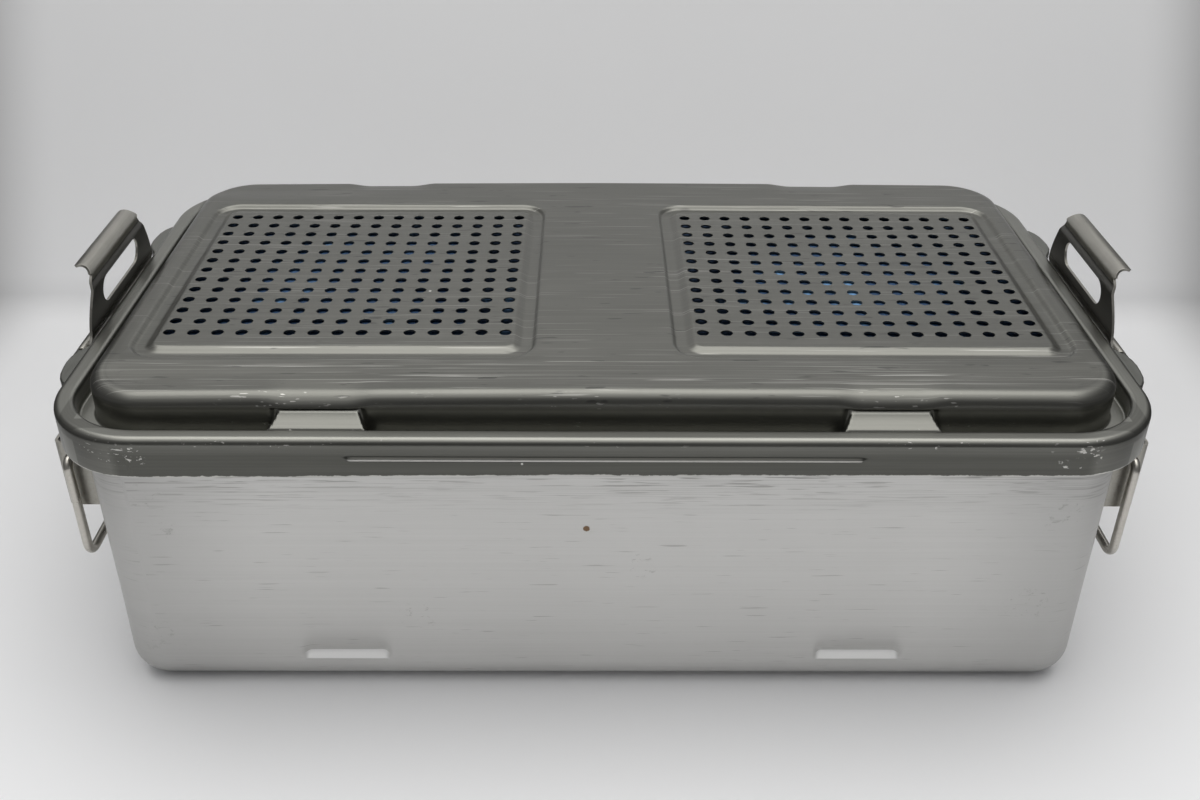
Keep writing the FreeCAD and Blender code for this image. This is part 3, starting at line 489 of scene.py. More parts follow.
# =====================================================================
# base pan
# =====================================================================
def build_pan():
    R, RB = 24.0, 18.0
    cx, cy = 265.5 - R, 145.0 - R
    xs = graded(cx, [118.5, 163.5], [8.0, 8.0], 0.9, 4.0)
    ys = np.linspace(-cy, cy, 52)
    P, N, U, per = stations(cx, cy, xs, ys, 22, R)
    th = 1.5
    prof = []
    # bottom from the inner ring of the flat floor outwards
    prof += [(R - RB - 3.0, 0.0)]
    prof += arc(R - RB, RB, RB, 270, 360, 14)
    prof += [(R, 18.8), (R, 19.2), (R, 19.6), (R, 20.3), (R, 21.2), (R, 22.1), (R, 22.6), (R, 23.0), (R, 23.5), (R, 24.2), (R, 26.0), (R, 28.0), (R, 30.0),
             (R, 32.0), (R, 34.0), (R, 36.0), (R, 38.0), (R, 41.0), (R, 44.0), (R, 50), (R, 60), (R, 75), (R, 90), (R, 105), (R, 120), (R, 133), (R, 144), (R, 152), (R, 156.5), (R, 158.0)]
    prof += arc(R + 1.4, 158.1, 1.4, 180, 90, 4)[1:]
    prof += [(R + 4.0, 159.5), (R + 8.0, 159.5)]
    prof += [(R + 9.7, 159.4), (R + 10.0, 159.0), (R + 10.0, 157.0), (R + 10.0, 155.6)]
    prof = np.array(prof)
    npf = len(prof)
    ns = len(P)
    long_side = np.abs(N[:, 1]) > 0.999
    q = np.tile(prof[None, :, 0], (ns, 1))
    z = np.tile(prof[None, :, 1], (ns, 1))
    # stacking notches: a ledge, fading out upwards
    dxa = np.abs(np.abs(P[:, 0]) - 141.0)
    zl = [(19.2, 0.0), (19.6, 0.3), (20.3, 1.1), (21.2, 2.25), (22.1, 3.3), (22.6, 3.7), (23.0, 3.8), (23.5, 3.7), (24.2, 3.4), (26.0, 2.6), (28.0, 1.95),
          (30.0, 1.45), (32.0, 1.05), (34.0, 0.75), (36.0, 0.5), (38.0, 0.3), (41.0, 0.1), (44.0, 0.0)]
    for j in range(npf):
        if prof[j, 0] == R and 19.3 < prof[j, 1] < 43:
            depth = np.interp(prof[j, 1], [a for a, _ in zl], [b for _, b in zl])
            half = 25.0 + 0.15 * max(0.0, prof[j, 1] - 22.0)
            q[:, j] -= depth * sm((half - dxa) / (4.6 + 0.5 * max(0.0, prof[j, 1] - 22.0))) * long_side
    # the rim flange has wider corners than the wall
    diag = 2 * np.abs(N[:, 0] * N[:, 1])
    q = np.where(q > R, R + (q - R) * (1 - 0.42 * diag[:, None]), q)
    x = P[:, None, 0] + N[:, None, 0] * q
    y = P[:, None, 1] + N[:, None, 1] * q
    # slight unevenness of the drawn walls
    wall = (prof[:, 1] > 22)[None, :] * (prof[:, 1] < 154)[None, :]
    amp = sm((z - 10) / 50.0) * wall
    q2 = (waves(U[:, None] + 0 * q, z * 1.3, 31, 300.0, 0.5) - 0.35) * amp
    x = x + N[:, None, 0] * q2
    y = y + N[:, None, 1] * q2
    V = np.stack([x, y, z], -1).reshape(-1, 3)
    arcl = np.concatenate([[0], np.cumsum(np.hypot(np.diff(prof[:, 0]), np.diff(prof[:, 1])))])
    uv = np.stack([np.repeat(U, npf), np.tile(arcl, ns)], 1)
    F = []
    for i in range(ns):
        k = (i + 1) % ns
        a, b = i * npf, k * npf
        for j in range(npf - 1):
            F.append((a + j, b + j, b + j + 1, a + j + 1))
    nrm = vertex_normals(V, F)
    nv = len(V)
    inner = V - nrm * th
    # floor plates: outer face down, inner face up
    ring = [i * npf for i in range(ns)]
    faces = list(F) + [tuple(nv + k for k in f[::-1]) for f in F]
    nrm[ring] = (0, 0, -1)
    inner_n = -nrm
    inner[ring, 2] = V[ring, 2] + th
    faces.append(tuple(ring[::-1]))
    faces.append(tuple(nv + k for k in ring))
    for i in range(ns):
        k = (i + 1) % ns
        a, b = i * npf + npf - 1, k * npf + npf - 1
        faces.append((a, b, b + nv, a + nv))
    return np.concatenate([V, inner]), faces, np.concatenate([nrm, inner_n]), np.concatenate([uv, uv]) * MM


# =====================================================================
# bent sheet parts cut from a flat outline: latch plates
# =====================================================================
def sheet_part(outline, holes, rows, cols, to3d, t):
    """outline and holes in the flat (s, y) plane; rows and cols give inner points; to3d(s, y) -> point, normal"""
    pts, loops = [], []
    for lp in [outline] + holes:
        st = len(pts)
        pts += [tuple(p) for p in lp]
        loops.append(list(range(st, len(pts))))

    def inside(poly, px, py):
        c = False
        m = len(poly)
        for a in range(m):
            (x1, y1), (x2, y2) = poly[a], poly[(a + 1) % m]
            if (y1 > py) != (y2 > py) and px < (x2 - x1) * (py - y1) / (y2 - y1) + x1:
                c = not c
        return c

    def edge_dist(px, py):
        best = 1e9
        for lp in [outline] + holes:
            a = np.array(lp)
            b = np.roll(a, -1, 0)
            ab = b - a
            tt = np.clip(((px - a[:, 0]) * ab[:, 0] + (py - a[:, 1]) * ab[:, 1]) / np.maximum((ab ** 2).sum(1), 1e-9), 0, 1)
            d = np.hypot(a[:, 0] + ab[:, 0] * tt - px, a[:, 1] + ab[:, 1] * tt - py).min()
            best = min(best, d)
        return best

    for s in rows:
        for y in cols:
            if inside(outline, s, y) and not any(inside(h, s, y) for h in holes) and edge_dist(s, y) > 0.8:
                pts.append((s, y))
    edges = []
    for L in loops:
        edges += [(L[k], L[(k + 1) % len(L)]) for k in range(len(L))]
    co, _, fc, ov, _, _ = delaunay_2d_cdt([Vector(p) for p in pts], edges, [], 0, 1e-7)
    P2 = [(c[0], c[1]) for c in co]
    F = []
    for f in fc:
        c = sum((co[k] for k in f), Vector((0, 0))) / len(f)
        if inside(outline, c[0], c[1]) and not any(inside(h, c[0], c[1]) for h in holes):
            F.append(tuple(f))
    mid, nr = [], []
    for p in P2:
        a, b = to3d(*p)
        mid.append(a); nr.append(b)
    mid, nr = np.array(mid), np.array(nr)
    n = len(mid)
    front, backv = mid + nr * t / 2, mid - nr * t / 2
    # orient
    f0 = F[0]
    c = np.cross(front[f0[1]] - front[f0[0]], front[f0[2]] - front[f0[0]])
    if np.dot(c, nr[f0[0]]) < 0:
        F = [f[::-1] for f in F]
    faces = list(F) + [tuple(n + k for k in f[::-1]) for f in F]
    for a, b in boundary_loops(F, n):
        faces.append((b, a, a + n, b + n))
    return np.concatenate([front, backv]), faces


def soft_edges(ob, width, segments=2, angle=35):
    m = ob.modifiers.new("edges", "BEVEL")
    m.width = width * MM
    m.segments = segments
    m.limit_method = "ANGLE"
    m.angle_limit = math.radians(angle)
    m.harden_normals = True
    m.use_clamp_overlap = True
    m.miter_outer = "MITER_ARC"
    return m


def build_latch(sign):
    """upright latch plate: outboard = sign * x"""
    pin_x, pin_z, lx = 288.5, 161.5, 281.7
    line = []
    # S-bend from the rolled knuckle to the web
    for k in range(11):
        t = k / 10
        line.append((pin_x - 2.95 - (pin_x - 2.95 - lx) * (3 * t * t - 2 * t ** 3), pin_z + 0.2 + 10.6 * t))
    line += [(lx, 174), (lx, 178), (lx, 183), (lx, 188), (lx, 192), (lx, 194.8), (lx + 0.12, 195.6), (lx + 0.5, 196.5), (lx + 1.15, 197.9), (lx + 1.55, 198.8), (lx + 1.7, 199.8)]
    r = 5.6
    ax, az = lx + 1.7 + r, 201.8
    line += [(ax + r * math.cos(math.radians(a)), az + r * math.sin(math.radians(a))) for a in range(178, 43, -9)]
    line = np.array(line)
    lean = 2.4 if sign < 0 else 1.5         # a taller lean or a lower lip would foul the catch window when closed
    line[:, 0] -= lean * np.clip((line[:, 1] - 169.0) / 30.0, 0, 1.15) ** 1.2
    s = np.concatenate([[0], np.cumsum(np.hypot(np.diff(line[:, 0]), np.diff(line[:, 1])))])
    tan = np.gradient(line, s, axis=0)
    tan /= np.linalg.norm(tan, axis=1)[:, None]
    s_at = lambda z: float(np.interp(z, line[:24, 1], s[:24]))
    s_end = s[-1]

    def to3d(sv, y):
        x = np.interp(sv, s, line[:, 0]); z = np.interp(sv, s, line[:, 1])
        tx = np.interp(sv, s, tan[:, 0]); tz = np.interp(sv, s, tan[:, 1])
        L = math.hypot(tx, tz)
        # outward side: to the right of the upward direction
        return (sign * x, y, z), (sign * tz / L, 0, -tx / L)

    def half(sv):
        z = np.interp(sv, s[:24], line[:24, 1]) if sv < s[23] else 200.0 + (sv - s[23])
        zs = [158, 172.0, 176.5, 181.0, 186, 191.0, 196, 200.5, 202.5, 204.2, 206, 300]
        hs = [54.8, 54.8, 54.1, 52.5, 50.3, 47.5, 44.5, 41.2, 39.6, 38.6, 38.2, 38.2]
        return float(np.interp(z, zs, hs))

    ss = list(np.linspace(0, s_end, 46))
    right = [(v, half(v)) for v in ss]
    rc = 2.0
    # round the two free corners of the lip
    right = [p for p in right if p[0] < s_end - rc] + [(s_end - rc + rc * math.sin(a), half(s_end) - rc + rc * math.cos(a)) for a in np.linspace(0, math.pi / 2, 5)]
    s_low = s_at(167.6)
    rr = 1.6
    gap = [(0.0, 28.6)] + [(s_low - rr + rr * math.sin(a), 28.6 - rr + rr * math.cos(a)) for a in np.linspace(0, math.pi / 2, 5)]
    outline = gap[::-1][0:0]
    path = []
    path += [(0.0, 28.6)] + right           # up the right-hand edge
    path += [(p[0], -p[1]) for p in right[::-1]]
    path += [(0.0, -28.6)]
    path += [(p[0], -p[1]) for p in gap[1:]]
    path += [(p[0], p[1]) for p in gap[1:][::-1]]
    # window: a stadium
    sz0, sz1 = s_at(179.9), s_at(195.0)
    sc, rw = (sz0 + sz1) / 2, (sz1 - sz0) / 2
    win = [(sc + rw * math.sin(a), 23.3 + rw * math.cos(a)) for a in np.linspace(-math.pi / 2, math.pi / 2, 19)]
    win += [(sc + rw * math.sin(a), -23.3 - rw * math.cos(a)) for a in np.linspace(math.pi / 2, -math.pi / 2, 19)]
    rows = [v for v in s[1:-1]]
    cols = np.arange(-52, 53, 4.0)
    v, f = sheet_part(path, [win], rows, cols, to3d, 1.5)
    verts, faces = [tuple(p) for p in v], list(f)
    # rolled knuckles: a wrapped tube with its open seam
    for y0, y1 in ((-54.8, -28.6), (28.6, 54.8)):
        m = 40
        ro, ri = 3.7, 2.25
        a0 = math.radians(200)
        angs = [a0 + (2 * math.pi - 0.16) * k / m for k in range(m + 1)]
        st = len(verts)
        prof = [(ro, y0 + 0.35), (ro - 0.1, y0 + 0.1), (ro - 0.35, y0), (ri + 0.2, y0), (ri, y0 + 0.2), (ri, y1 - 0.2), (ri + 0.2, y1), (ro - 0.35, y1), (ro - 0.1, y1 - 0.1), (ro, y1 - 0.35)]
        npf = len(prof)
        for a in angs:
            for rad, yy in prof:
                verts.append((sign * (pin_x + rad * math.cos(a)), yy, pin_z + rad * math.sin(a)))
        for k in range(m):
            for j in range(npf):
                jj = (j + 1) % npf
                q = (st + k * npf + j, st + k * npf + jj, st + (k + 1) * npf + jj, st + (k + 1) * npf + j)
                faces.append(q if sign > 0 else q[::-1])
        e1 = tuple(st + j for j in range(npf))
        e2 = tuple(st + m * npf + j for j in range(npf))
        faces.append(e1[::-1] if sign > 0 else e1)
        faces.append(e2 if sign > 0 else e2[::-1])
    return np.array(verts), faces


# =====================================================================
# materials
# =====================================================================
class Mat:
    """small helper that builds a procedural node material"""

    def __init__(self, name):
        self.m = bpy.data.materials.new(name)
        self.m.use_nodes = True
        self.nt = self.m.node_tree
        self.nt.nodes.clear()
        self.out = self.nt.nodes.new("ShaderNodeOutputMaterial")
        self.b = self.nt.nodes.new("ShaderNodeBsdfPrincipled")
        self.nt.links.new(self.b.outputs[0], self.out.inputs[0])

    def n(self, kind, **kw):
        nd = self.nt.nodes.new(kind)
        for k, v in kw.items():
            setattr(nd, k, v)
        return nd

    def l(self, a, b):
        self.nt.links.new(a, b)

    def coords(self):
        return self.n("ShaderNodeTexCoord").outputs["Object"]

    def uv(self):
        nd = self.n("ShaderNodeUVMap")
        nd.uv_map = "along"
        return nd.outputs[0]

    def mapping(self, src, scale, loc=(0, 0, 0), rot=(0, 0, 0)):
        nd = self.n("ShaderNodeMapping")
        nd.inputs["Scale"].default_value = scale
        nd.inputs["Location"].default_value = loc
        nd.inputs["Rotation"].default_value = rot
        self.l(src, nd.inputs["Vector"])
        return nd.outputs[0]

    def noise(self, src, scale=5.0, detail=2.0, rough=0.5, dist=0.0):
        nd = self.n("ShaderNodeTexNoise")
        nd.inputs["Scale"].default_value = scale
        nd.inputs["Detail"].default_value = detail
        nd.inputs["Roughness"].default_value = rough
        nd.inputs["Distortion"].default_value = dist
        self.l(src, nd.inputs["Vector"])
        return nd.outputs["Fac"]

    def ramp(self, src, stops):
        nd = self.n("ShaderNodeValToRGB")
        e = nd.color_ramp.elements
        while len(e) > 1:
            e.remove(e[-1])
        e[0].position, e[0].color = stops[0][0], self._c(stops[0][1])
        for p, c in stops[1:]:
            k = e.new(p)
            k.color = self._c(c)
        self.l(src, nd.inputs[0])
        return nd.outputs[0]

    @staticmethod
    def _c(c):
        if isinstance(c, (int, float)):
            return (c, c, c, 1)
        return (c[0], c[1], c[2], 1)

    def math(self, op, a, b=None, clamp=False):
        nd = self.n("ShaderNodeMath", operation=op)
        nd.use_clamp = clamp
        for k, v in enumerate((a, b)):
            if v is None:
                continue
            if isinstance(v, (int, float)):
                nd.inputs[k].default_value = v
            else:
                self.l(v, nd.inputs[k])
        return nd.outputs[0]

    def mix(self, fac, a, b, mode="MIX"):
        nd = self.n("ShaderNodeMix")
        nd.data_type = "RGBA"
        nd.blend_type = mode
        for sock, v in ((nd.inputs[0], fac), (nd.inputs[6], a), (nd.inputs[7], b)):
            if isinstance(v, (int, float)):
                if sock.type == "RGBA":
                    sock.default_value = (v, v, v, 1)
                else:
                    sock.default_value = v
            elif isinstance(v, tuple):
                sock.default_value = self._c(v)
            else:
                self.l(v, sock)
        return nd.outputs[2]

    def sep(self, src):
        nd = self.n("ShaderNodeSeparateXYZ")
        self.l(src, nd.inputs[0])
        return nd.outputs

    def bump(self, h, strength, dist):
        nd = self.n("ShaderNodeBump")
        nd.inputs["Strength"].default_value = strength
        nd.inputs["Distance"].default_value = dist
        self.l(h, nd.inputs["Height"])
        self.l(nd.outputs[0], self.b.inputs["Normal"])
        return nd

    def band(self, v, lo, hi, soft):
        """1 inside lo..hi with soft shoulders"""
        a = self.n("ShaderNodeMapRange", interpolation_type="SMOOTHSTEP")
        a.inputs["From Min"].default_value = lo - soft
        a.inputs["From Max"].default_value = lo + soft
        self.l(v, a.inputs[0])
        b = self.n("ShaderNodeMapRange", interpolation_type="SMOOTHSTEP")
        b.inputs["From Min"].default_value = hi - soft
        b.inputs["From Max"].default_value = hi + soft
        b.inputs["To Min"].default_value = 1
        b.inputs["To Max"].default_value = 0
        self.l(v, b.inputs[0])
        return self.math("MULTIPLY", a.outputs[0], b.outputs[0])

    def spot(self, a, b, ca, cb, r, ragged=None):
        """1 inside a small round spot at (ca, cb)"""
        da, db = self.math("SUBTRACT", a, ca), self.math("SUBTRACT", b, cb)
        d = self.math("SQRT", self.math("ADD", self.math("MULTIPLY", da, da), self.math("MULTIPLY", db, db)))
        if ragged is not None:
            d = self.math("ADD", d, self.math("MULTIPLY", self.math("SUBTRACT", ragged, 0.5), r * 1.6))
        return self.maprange(d, r * 0.8, r * 1.15, 1, 0, True)

    def maprange(self, v, a, b, c, d, smooth=False):
        nd = self.n("ShaderNodeMapRange")
        if smooth:
            nd.interpolation_type = "SMOOTHSTEP"
        for k, x in zip(("From Min", "From Max", "To Min", "To Max"), (a, b, c, d)):
            nd.inputs[k].default_value = x
        self.l(v, nd.inputs[0])
        return nd.outputs[0]


_pn = lid_profiles()[0]
LID_RUN = float(np.hypot(np.diff(_pn[:, 0]), np.diff(_pn[:, 1])).sum()) * MM      # length of the lid's edge profile


def mat_lid():
    M = Mat("lid_anodised")
    oc = M.coords()
    uv = M.uv()
    ox, oy, oz = M.sep(oc)
    # fine brushing that follows the length of the sheet
    br = M.noise(M.mapping(uv, (3.0, 900.0, 1.0)), 1.0, 3.0, 0.6)
    br2 = M.noise(M.mapping(uv, (14.0, 260.0, 1.0)), 1.0, 2.0, 0.55)
    cloud = M.noise(M.mapping(oc, (6.0, 14.0, 10.0)), 1.0, 3.0, 0.55, 0.4)
    t = M.math("ADD", M.math("MULTIPLY", br, 0.45), M.math("ADD", M.math("MULTIPLY", br2, 0.30), M.math("MULTIPLY", cloud, 0.25)))
    col = M.ramp(t, [(0.25, (0.126, 0.126, 0.115)), (0.5, (0.164, 0.164, 0.150)), (0.75, (0.214, 0.213, 0.196))])
    rough = M.ramp(t, [(0.3, 0.30), (0.7, 0.40)])
    # bare metal where the colour has chipped: bead, skirt edge, plateau edge
    fleck = M.noise(M.mapping(oc, (330.0, 330.0, 620.0)), 1.0, 2.0, 0.6, 0.3)
    group = M.maprange(M.noise(M.mapping(oc, (11.0, 11.0, 11.0)), 1.0, 2.0, 0.5), 0.5, 0.66, 0.0, 1.0)
    few = M.maprange(fleck, 0.665, 0.69, 0, 1)
    many = M.maprange(fleck, 0.60, 0.63, 0, 1)
    bead = M.band(oz, 0.1693, 0.1728, 0.0006)
    skirt = M.band(oz, 0.1575, 0.1732, 0.001)
    front = M.maprange(oy, -0.1460, -0.1440, 1, 0)
    chips = M.math("MULTIPLY", few, M.math("MULTIPLY", bead, group))
    worn = M.math("MULTIPLY", M.band(ox, 0.207, 0.247, 0.006), M.math("MULTIPLY", front, skirt))
    worn = M.math("MAXIMUM", worn, M.math("MULTIPLY", M.band(ox, -0.262, -0.200, 0.01), M.math("MULTIPLY", front, M.math("MULTIPLY", skirt, 0.93))))
    chips = M.math("MAXIMUM", chips, M.math("MULTIPLY", M.math("MULTIPLY", many, M.maprange(fleck, 0.60, 0.66, 0.6, 1)), M.maprange(M.math("MULTIPLY", worn, M.noise(M.mapping(oc, (70.0, 70.0, 70.0)), 1.0, 1.0, 0.5)), 0.44, 0.50, 0, 1)))
    edge = M.math("MULTIPLY", M.band(oz, 0.1795, 0.1866, 0.0008), M.maprange(oy, -0.1335, -0.1350, 0, 1))
    chips = M.math("MAXIMUM", chips, M.math("MULTIPLY", M.maprange(M.noise(M.mapping(oc, (160.0, 700.0, 700.0)), 1.0, 2.0, 0.5), 0.665, 0.69, 0, 0.8), M.math("MULTIPLY", edge, group)))
    rag = M.noise(M.mapping(uv, (160.0, 160.0, 1.0)), 1.0, 4.0, 0.7)
    run = M.sep(uv)[1]
    low = M.math("SUBTRACT", M.math("ADD", run, M.math("MULTIPLY", rag, 0.0032)), LID_RUN + 0.0008)
    low = M.math("MULTIPLY", M.maprange(low, 0.0, 0.0004, 0, 0.85), M.maprange(oz, 0.1590, 0.1600, 1, 0))
    chips = M.math("MAXIMUM", chips, low)
    # painted light: the channel's wall and floor are painted paler to stand in for light the deep channel lacks, and
    # the top of the bead crest is painted paler as a painted sheen
    aox, aoy = M.math("ABSOLUTE", ox), M.math("ABSOLUTE", oy)
    channel_wall_light = M.math("MULTIPLY", M.band(oz, 0.1630, 0.1785, 0.001), M.math("MULTIPLY", M.maprange(aoy, 0.1402, 0.1406, 1, 0), M.maprange(aox, 0.2608, 0.2612, 1, 0)))
    channel_floor_light = M.math("MULTIPLY", M.maprange(oz, 0.1655, 0.1670, 1, 0), M.math("MULTIPLY", M.maprange(aoy, 0.1486, 0.1490, 1, 0), M.maprange(aox, 0.2690, 0.2695, 1, 0)))
    crest_sheen = M.math("MULTIPLY", M.maprange(oz, 0.1712, 0.1730, 0, 0.22), M.math("MAXIMUM", M.maprange(aoy, 0.1485, 0.1492, 0, 1), M.maprange(aox, 0.2690, 0.2697, 0, 1)))
    crest_sheen = M.math("MULTIPLY", crest_sheen, M.maprange(oz, 0.1745, 0.1750, 1, 0))
    channel_crest_light = M.math("MAXIMUM", crest_sheen, M.math("MULTIPLY", M.math("MAXIMUM", channel_wall_light, channel_floor_light), 0.34))
    col = M.mix(channel_crest_light, col, (0.50, 0.50, 0.46))
    # long light scratches on the flat in front of the fields, and one dark one
    ln = M.noise(M.mapping(oc, (5.0, 1500.0, 1.0)), 1.0, 2.0, 0.5)
    ln2 = M.noise(M.mapping(oc, (9.0, 620.0, 1.0), (0.3, 0.1, 0.0), (0, 0, 0.012)), 1.0, 2.0, 0.5)
    upper = M.maprange(oz, 0.1825, 0.1835, 0, 1)
    strip = M.math("MULTIPLY", M.band(oy, -0.1300, -0.1065, 0.002), upper)
    scr = M.math("MULTIPLY", strip, M.math("MAXIMUM", M.maprange(ln, 0.60, 0.66, 0, 0.28), M.maprange(ln2, 0.645, 0.67, 0, 0.5)))
    all_scr = M.math("MULTIPLY", upper, M.maprange(M.noise(M.mapping(oc, (14.0, 900.0, 1.0), (0.7, 0.2, 0.0), (0, 0, -0.05)), 1.0, 1.0, 0.5), 0.66, 0.70, 0, 0.22))
    scr = M.math("MAXIMUM", scr, all_scr)
    light = M.math("MAXIMUM", chips, scr)
    light = M.math("MAXIMUM", light, M.math("MULTIPLY", M.spot(ox, oy, -0.0977, -0.0266, 0.0009, rag), upper))
    light = M.math("MAXIMUM", light, M.math("MULTIPLY", M.spot(ox, oz, -0.0405, 0.1600, 0.0006), front))
    # painted shade: the skirt is painted darker than the plateau; painted highlight: its rib is painted in a light
    # bare-metal colour
    skirt_shade = M.math("MULTIPLY", M.maprange(oz, 0.1640, 0.1700, 1, 0), M.maprange(M.math("ABSOLUTE", oy), 0.1580, 0.1588, 0, 1))
    col = M.mix(M.math("MULTIPLY", skirt_shade, 0.42), col, (0.03, 0.03, 0.026))
    rib_highlight = M.math("MULTIPLY", M.band(oz, 0.1614, 0.1631, 0.0003), M.maprange(M.math("ABSOLUTE", oy), 0.1598, 0.1602, 0, 1))
    rib_highlight = M.math("MULTIPLY", rib_highlight, M.maprange(rag, 0.3, 0.5, 0.75, 0.95))
    light = M.math("MAXIMUM", light, rib_highlight)
    col = M.mix(light, col, (0.66, 0.65, 0.62))
    dk = M.math("MULTIPLY", M.band(ox, 0.0655, 0.0785, 0.0012), M.band(M.math("ADD", oy, M.math("MULTIPLY", ox, 0.01)), -0.10535, -0.10475, 0.0002))
    dk = M.math("MAXIMUM", M.math("MULTIPLY", dk, 0.85), M.math("MULTIPLY", upper, M.maprange(M.noise(M.mapping(oc, (45.0, 330.0, 1.0), (0.1, 0.6, 0)), 1.0, 2.0, 0.5), 0.675, 0.71, 0, 0.5)))
    col = M.mix(dk, col, (0.05, 0.05, 0.05))
    rough = M.mix(light, rough, 0.5)
    M.l(col, M.b.inputs["Base Color"])
    M.l(rough, M.b.inputs["Roughness"])
    M.b.inputs["Metallic"].default_value = 1.0
    M.bump(M.math("ADD", M.math("SUBTRACT", M.math("MULTIPLY", br, 0.6), M.math("MULTIPLY", light, 0.8)), br2), 0.12, 0.00008)
    return M.m


def mat_pan():
    M = Mat("pan_anodised")
    oc = M.coords()
    uv = M.uv()
    ox, oy, oz = M.sep(oc)
    br = M.noise(M.mapping(uv, (4.0, 700.0, 1.0)), 1.0, 3.0, 0.6)
    br2 = M.noise(M.mapping(uv, (2.0, 90.0, 1.0)), 1.0, 2.0, 0.5)
    cloud = M.noise(M.mapping(oc, (7.0, 7.0, 7.0)), 1.0, 3.0, 0.55, 0.4)
    t = M.math("ADD", M.math("MULTIPLY", br, 0.4), M.math("ADD", M.math("MULTIPLY", br2, 0.25), M.math("MULTIPLY", cloud, 0.35)))
    col = M.ramp(t, [(0.25, (0.585, 0.58, 0.565)), (0.5, (0.645, 0.64, 0.625)), (0.75, (0.70, 0.695, 0.68))])
    # painted shade: the front wall is painted darker towards both ends, where it reflects the bright table
    end_wall_shade = M.math("MULTIPLY", M.maprange(M.math("ABSOLUTE", ox), 0.165, 0.262, 0, 0.34, True), M.maprange(oy, -0.10, -0.14, 0, 1))
    col = M.mix(M.math("ADD", end_wall_shade, 0.05), col, (0.20, 0.20, 0.197))
    # fine dark rub lines where the lid's skirt slides down
    ln = M.noise(M.mapping(uv, (9.0, 1500.0, 1.0)), 1.0, 3.0, 0.6)
    ln2 = M.noise(M.mapping(uv, (34.0, 760.0, 1.0), (0.2, 0.4, 0), (0, 0, 0.012)), 1.0, 2.0, 0.5)
    zone = M.math("MULTIPLY", M.maprange(oz, 0.112, 0.150, 0, 1, True), M.maprange(cloud, 0.35, 0.6, 0.35, 1))
    rub = M.math("MULTIPLY", zone, M.math("MAXIMUM", M.maprange(ln, 0.52, 0.64, 0, 0.5), M.maprange(ln2, 0.57, 0.63, 0, 0.75)))
    rub = M.math("MAXIMUM", rub, M.maprange(ln2, 0.665, 0.72, 0, 0.40))
    col = M.mix(rub, col, (0.27, 0.265, 0.255))
    fleck = M.noise(M.mapping(oc, (180.0, 180.0, 240.0)), 1.0, 4.0, 0.7, 0.8)
    scuff = M.spot(ox, oz, -0.232, 0.128, 0.010)
    for cx, cz, r in ((-0.227, 0.108, 0.008), (-0.240, 0.034, 0.012), (0.236, 0.120, 0.011), (0.228, 0.060, 0.012), (0.02, 0.085, 0.008), (-0.10, 0.05, 0.010)):
        scuff = M.math("MAXIMUM", scuff, M.spot(ox, oz, cx, cz, r))
    scuff = M.math("MULTIPLY", scuff, M.maprange(fleck, 0.58, 0.66, 0, 0.45))
    col = M.mix(scuff, col, (0.30, 0.295, 0.28))
    spots = M.spot(ox, oz, -0.0092, 0.1094, 0.0017, fleck)
    spots = M.math("MULTIPLY", spots, M.maprange(oy, -0.140, -0.138, 1, 0))
    col = M.mix(spots, col, (0.20, 0.13, 0.08))
    # painted highlight: the sloping ledge of each stacking notch is painted near-white and made less metallic,
    # standing in for the bright light it catches
    ax = M.math("ABSOLUTE", ox)
    ledge_highlight = M.math("MULTIPLY", M.band(ax, 0.1184, 0.1636, 0.0014), M.band(oz, 0.0196, 0.0230, 0.0003))
    ledge_highlight = M.math("MULTIPLY", ledge_highlight, M.maprange(M.math("ABSOLUTE", oy), 0.1380, 0.1390, 0, 1))
    col = M.mix(ledge_highlight, col, (0.98, 0.98, 0.975))
    M.l(M.math("SUBTRACT", 1.0, M.math("MULTIPLY", ledge_highlight, 0.92)), M.b.inputs["Metallic"])
    M.l(col, M.b.inputs["Base Color"])
    M.l(M.mix(M.math("MAXIMUM", rub, scuff), M.ramp(t, [(0.3, 0.40), (0.7, 0.48)]), 0.60), M.b.inputs["Roughness"])
    M.bump(M.math("SUBTRACT", br, M.math("MULTIPLY", rub, 0.5)), 0.10, 0.00006)
    return M.m


def mat_steel(name="stainless", base=(0.52, 0.50, 0.46), rough=0.30):
    M = Mat(name)
    oc = M.coords()
    br = M.noise(M.mapping(oc, (500.0, 12.0, 500.0)), 1.0, 3.0, 0.6)
    cl = M.noise(M.mapping(oc, (30.0, 30.0, 30.0)), 1.0, 4.0, 0.6, 0.5)
    t = M.math("ADD", M.math("MULTIPLY", br, 0.5), M.math("MULTIPLY", cl, 0.5))
    c = base
    col = M.ramp(t, [(0.3, (c[0] * 0.82, c[1] * 0.82, c[2] * 0.8)), (0.5, c), (0.7, (c[0] * 1.12, c[1] * 1.12, c[2] * 1.12))])
    M.l(col, M.b.inputs["Base Color"])
    M.l(M.ramp(t, [(0.3, rough - 0.05), (0.7, rough + 0.08)]), M.b.inputs["Roughness"])
    M.b.inputs["Metallic"].default_value = 1.0
    M.bump(br, 0.15, 0.00005)
    return M.m


def mat_silicone():
    M = Mat("silicone")
    oc = M.coords()
    n = M.noise(M.mapping(oc, (60.0, 60.0, 60.0)), 1.0, 4.0, 0.6)
    M.l(M.ramp(n, [(0.3, (0.30, 0.30, 0.29)), (0.7, (0.38, 0.38, 0.365))]), M.b.inputs["Base Color"])
    M.b.inputs["Roughness"].default_value = 0.55
    M.bump(n, 0.2, 0.0001)
    return M.m


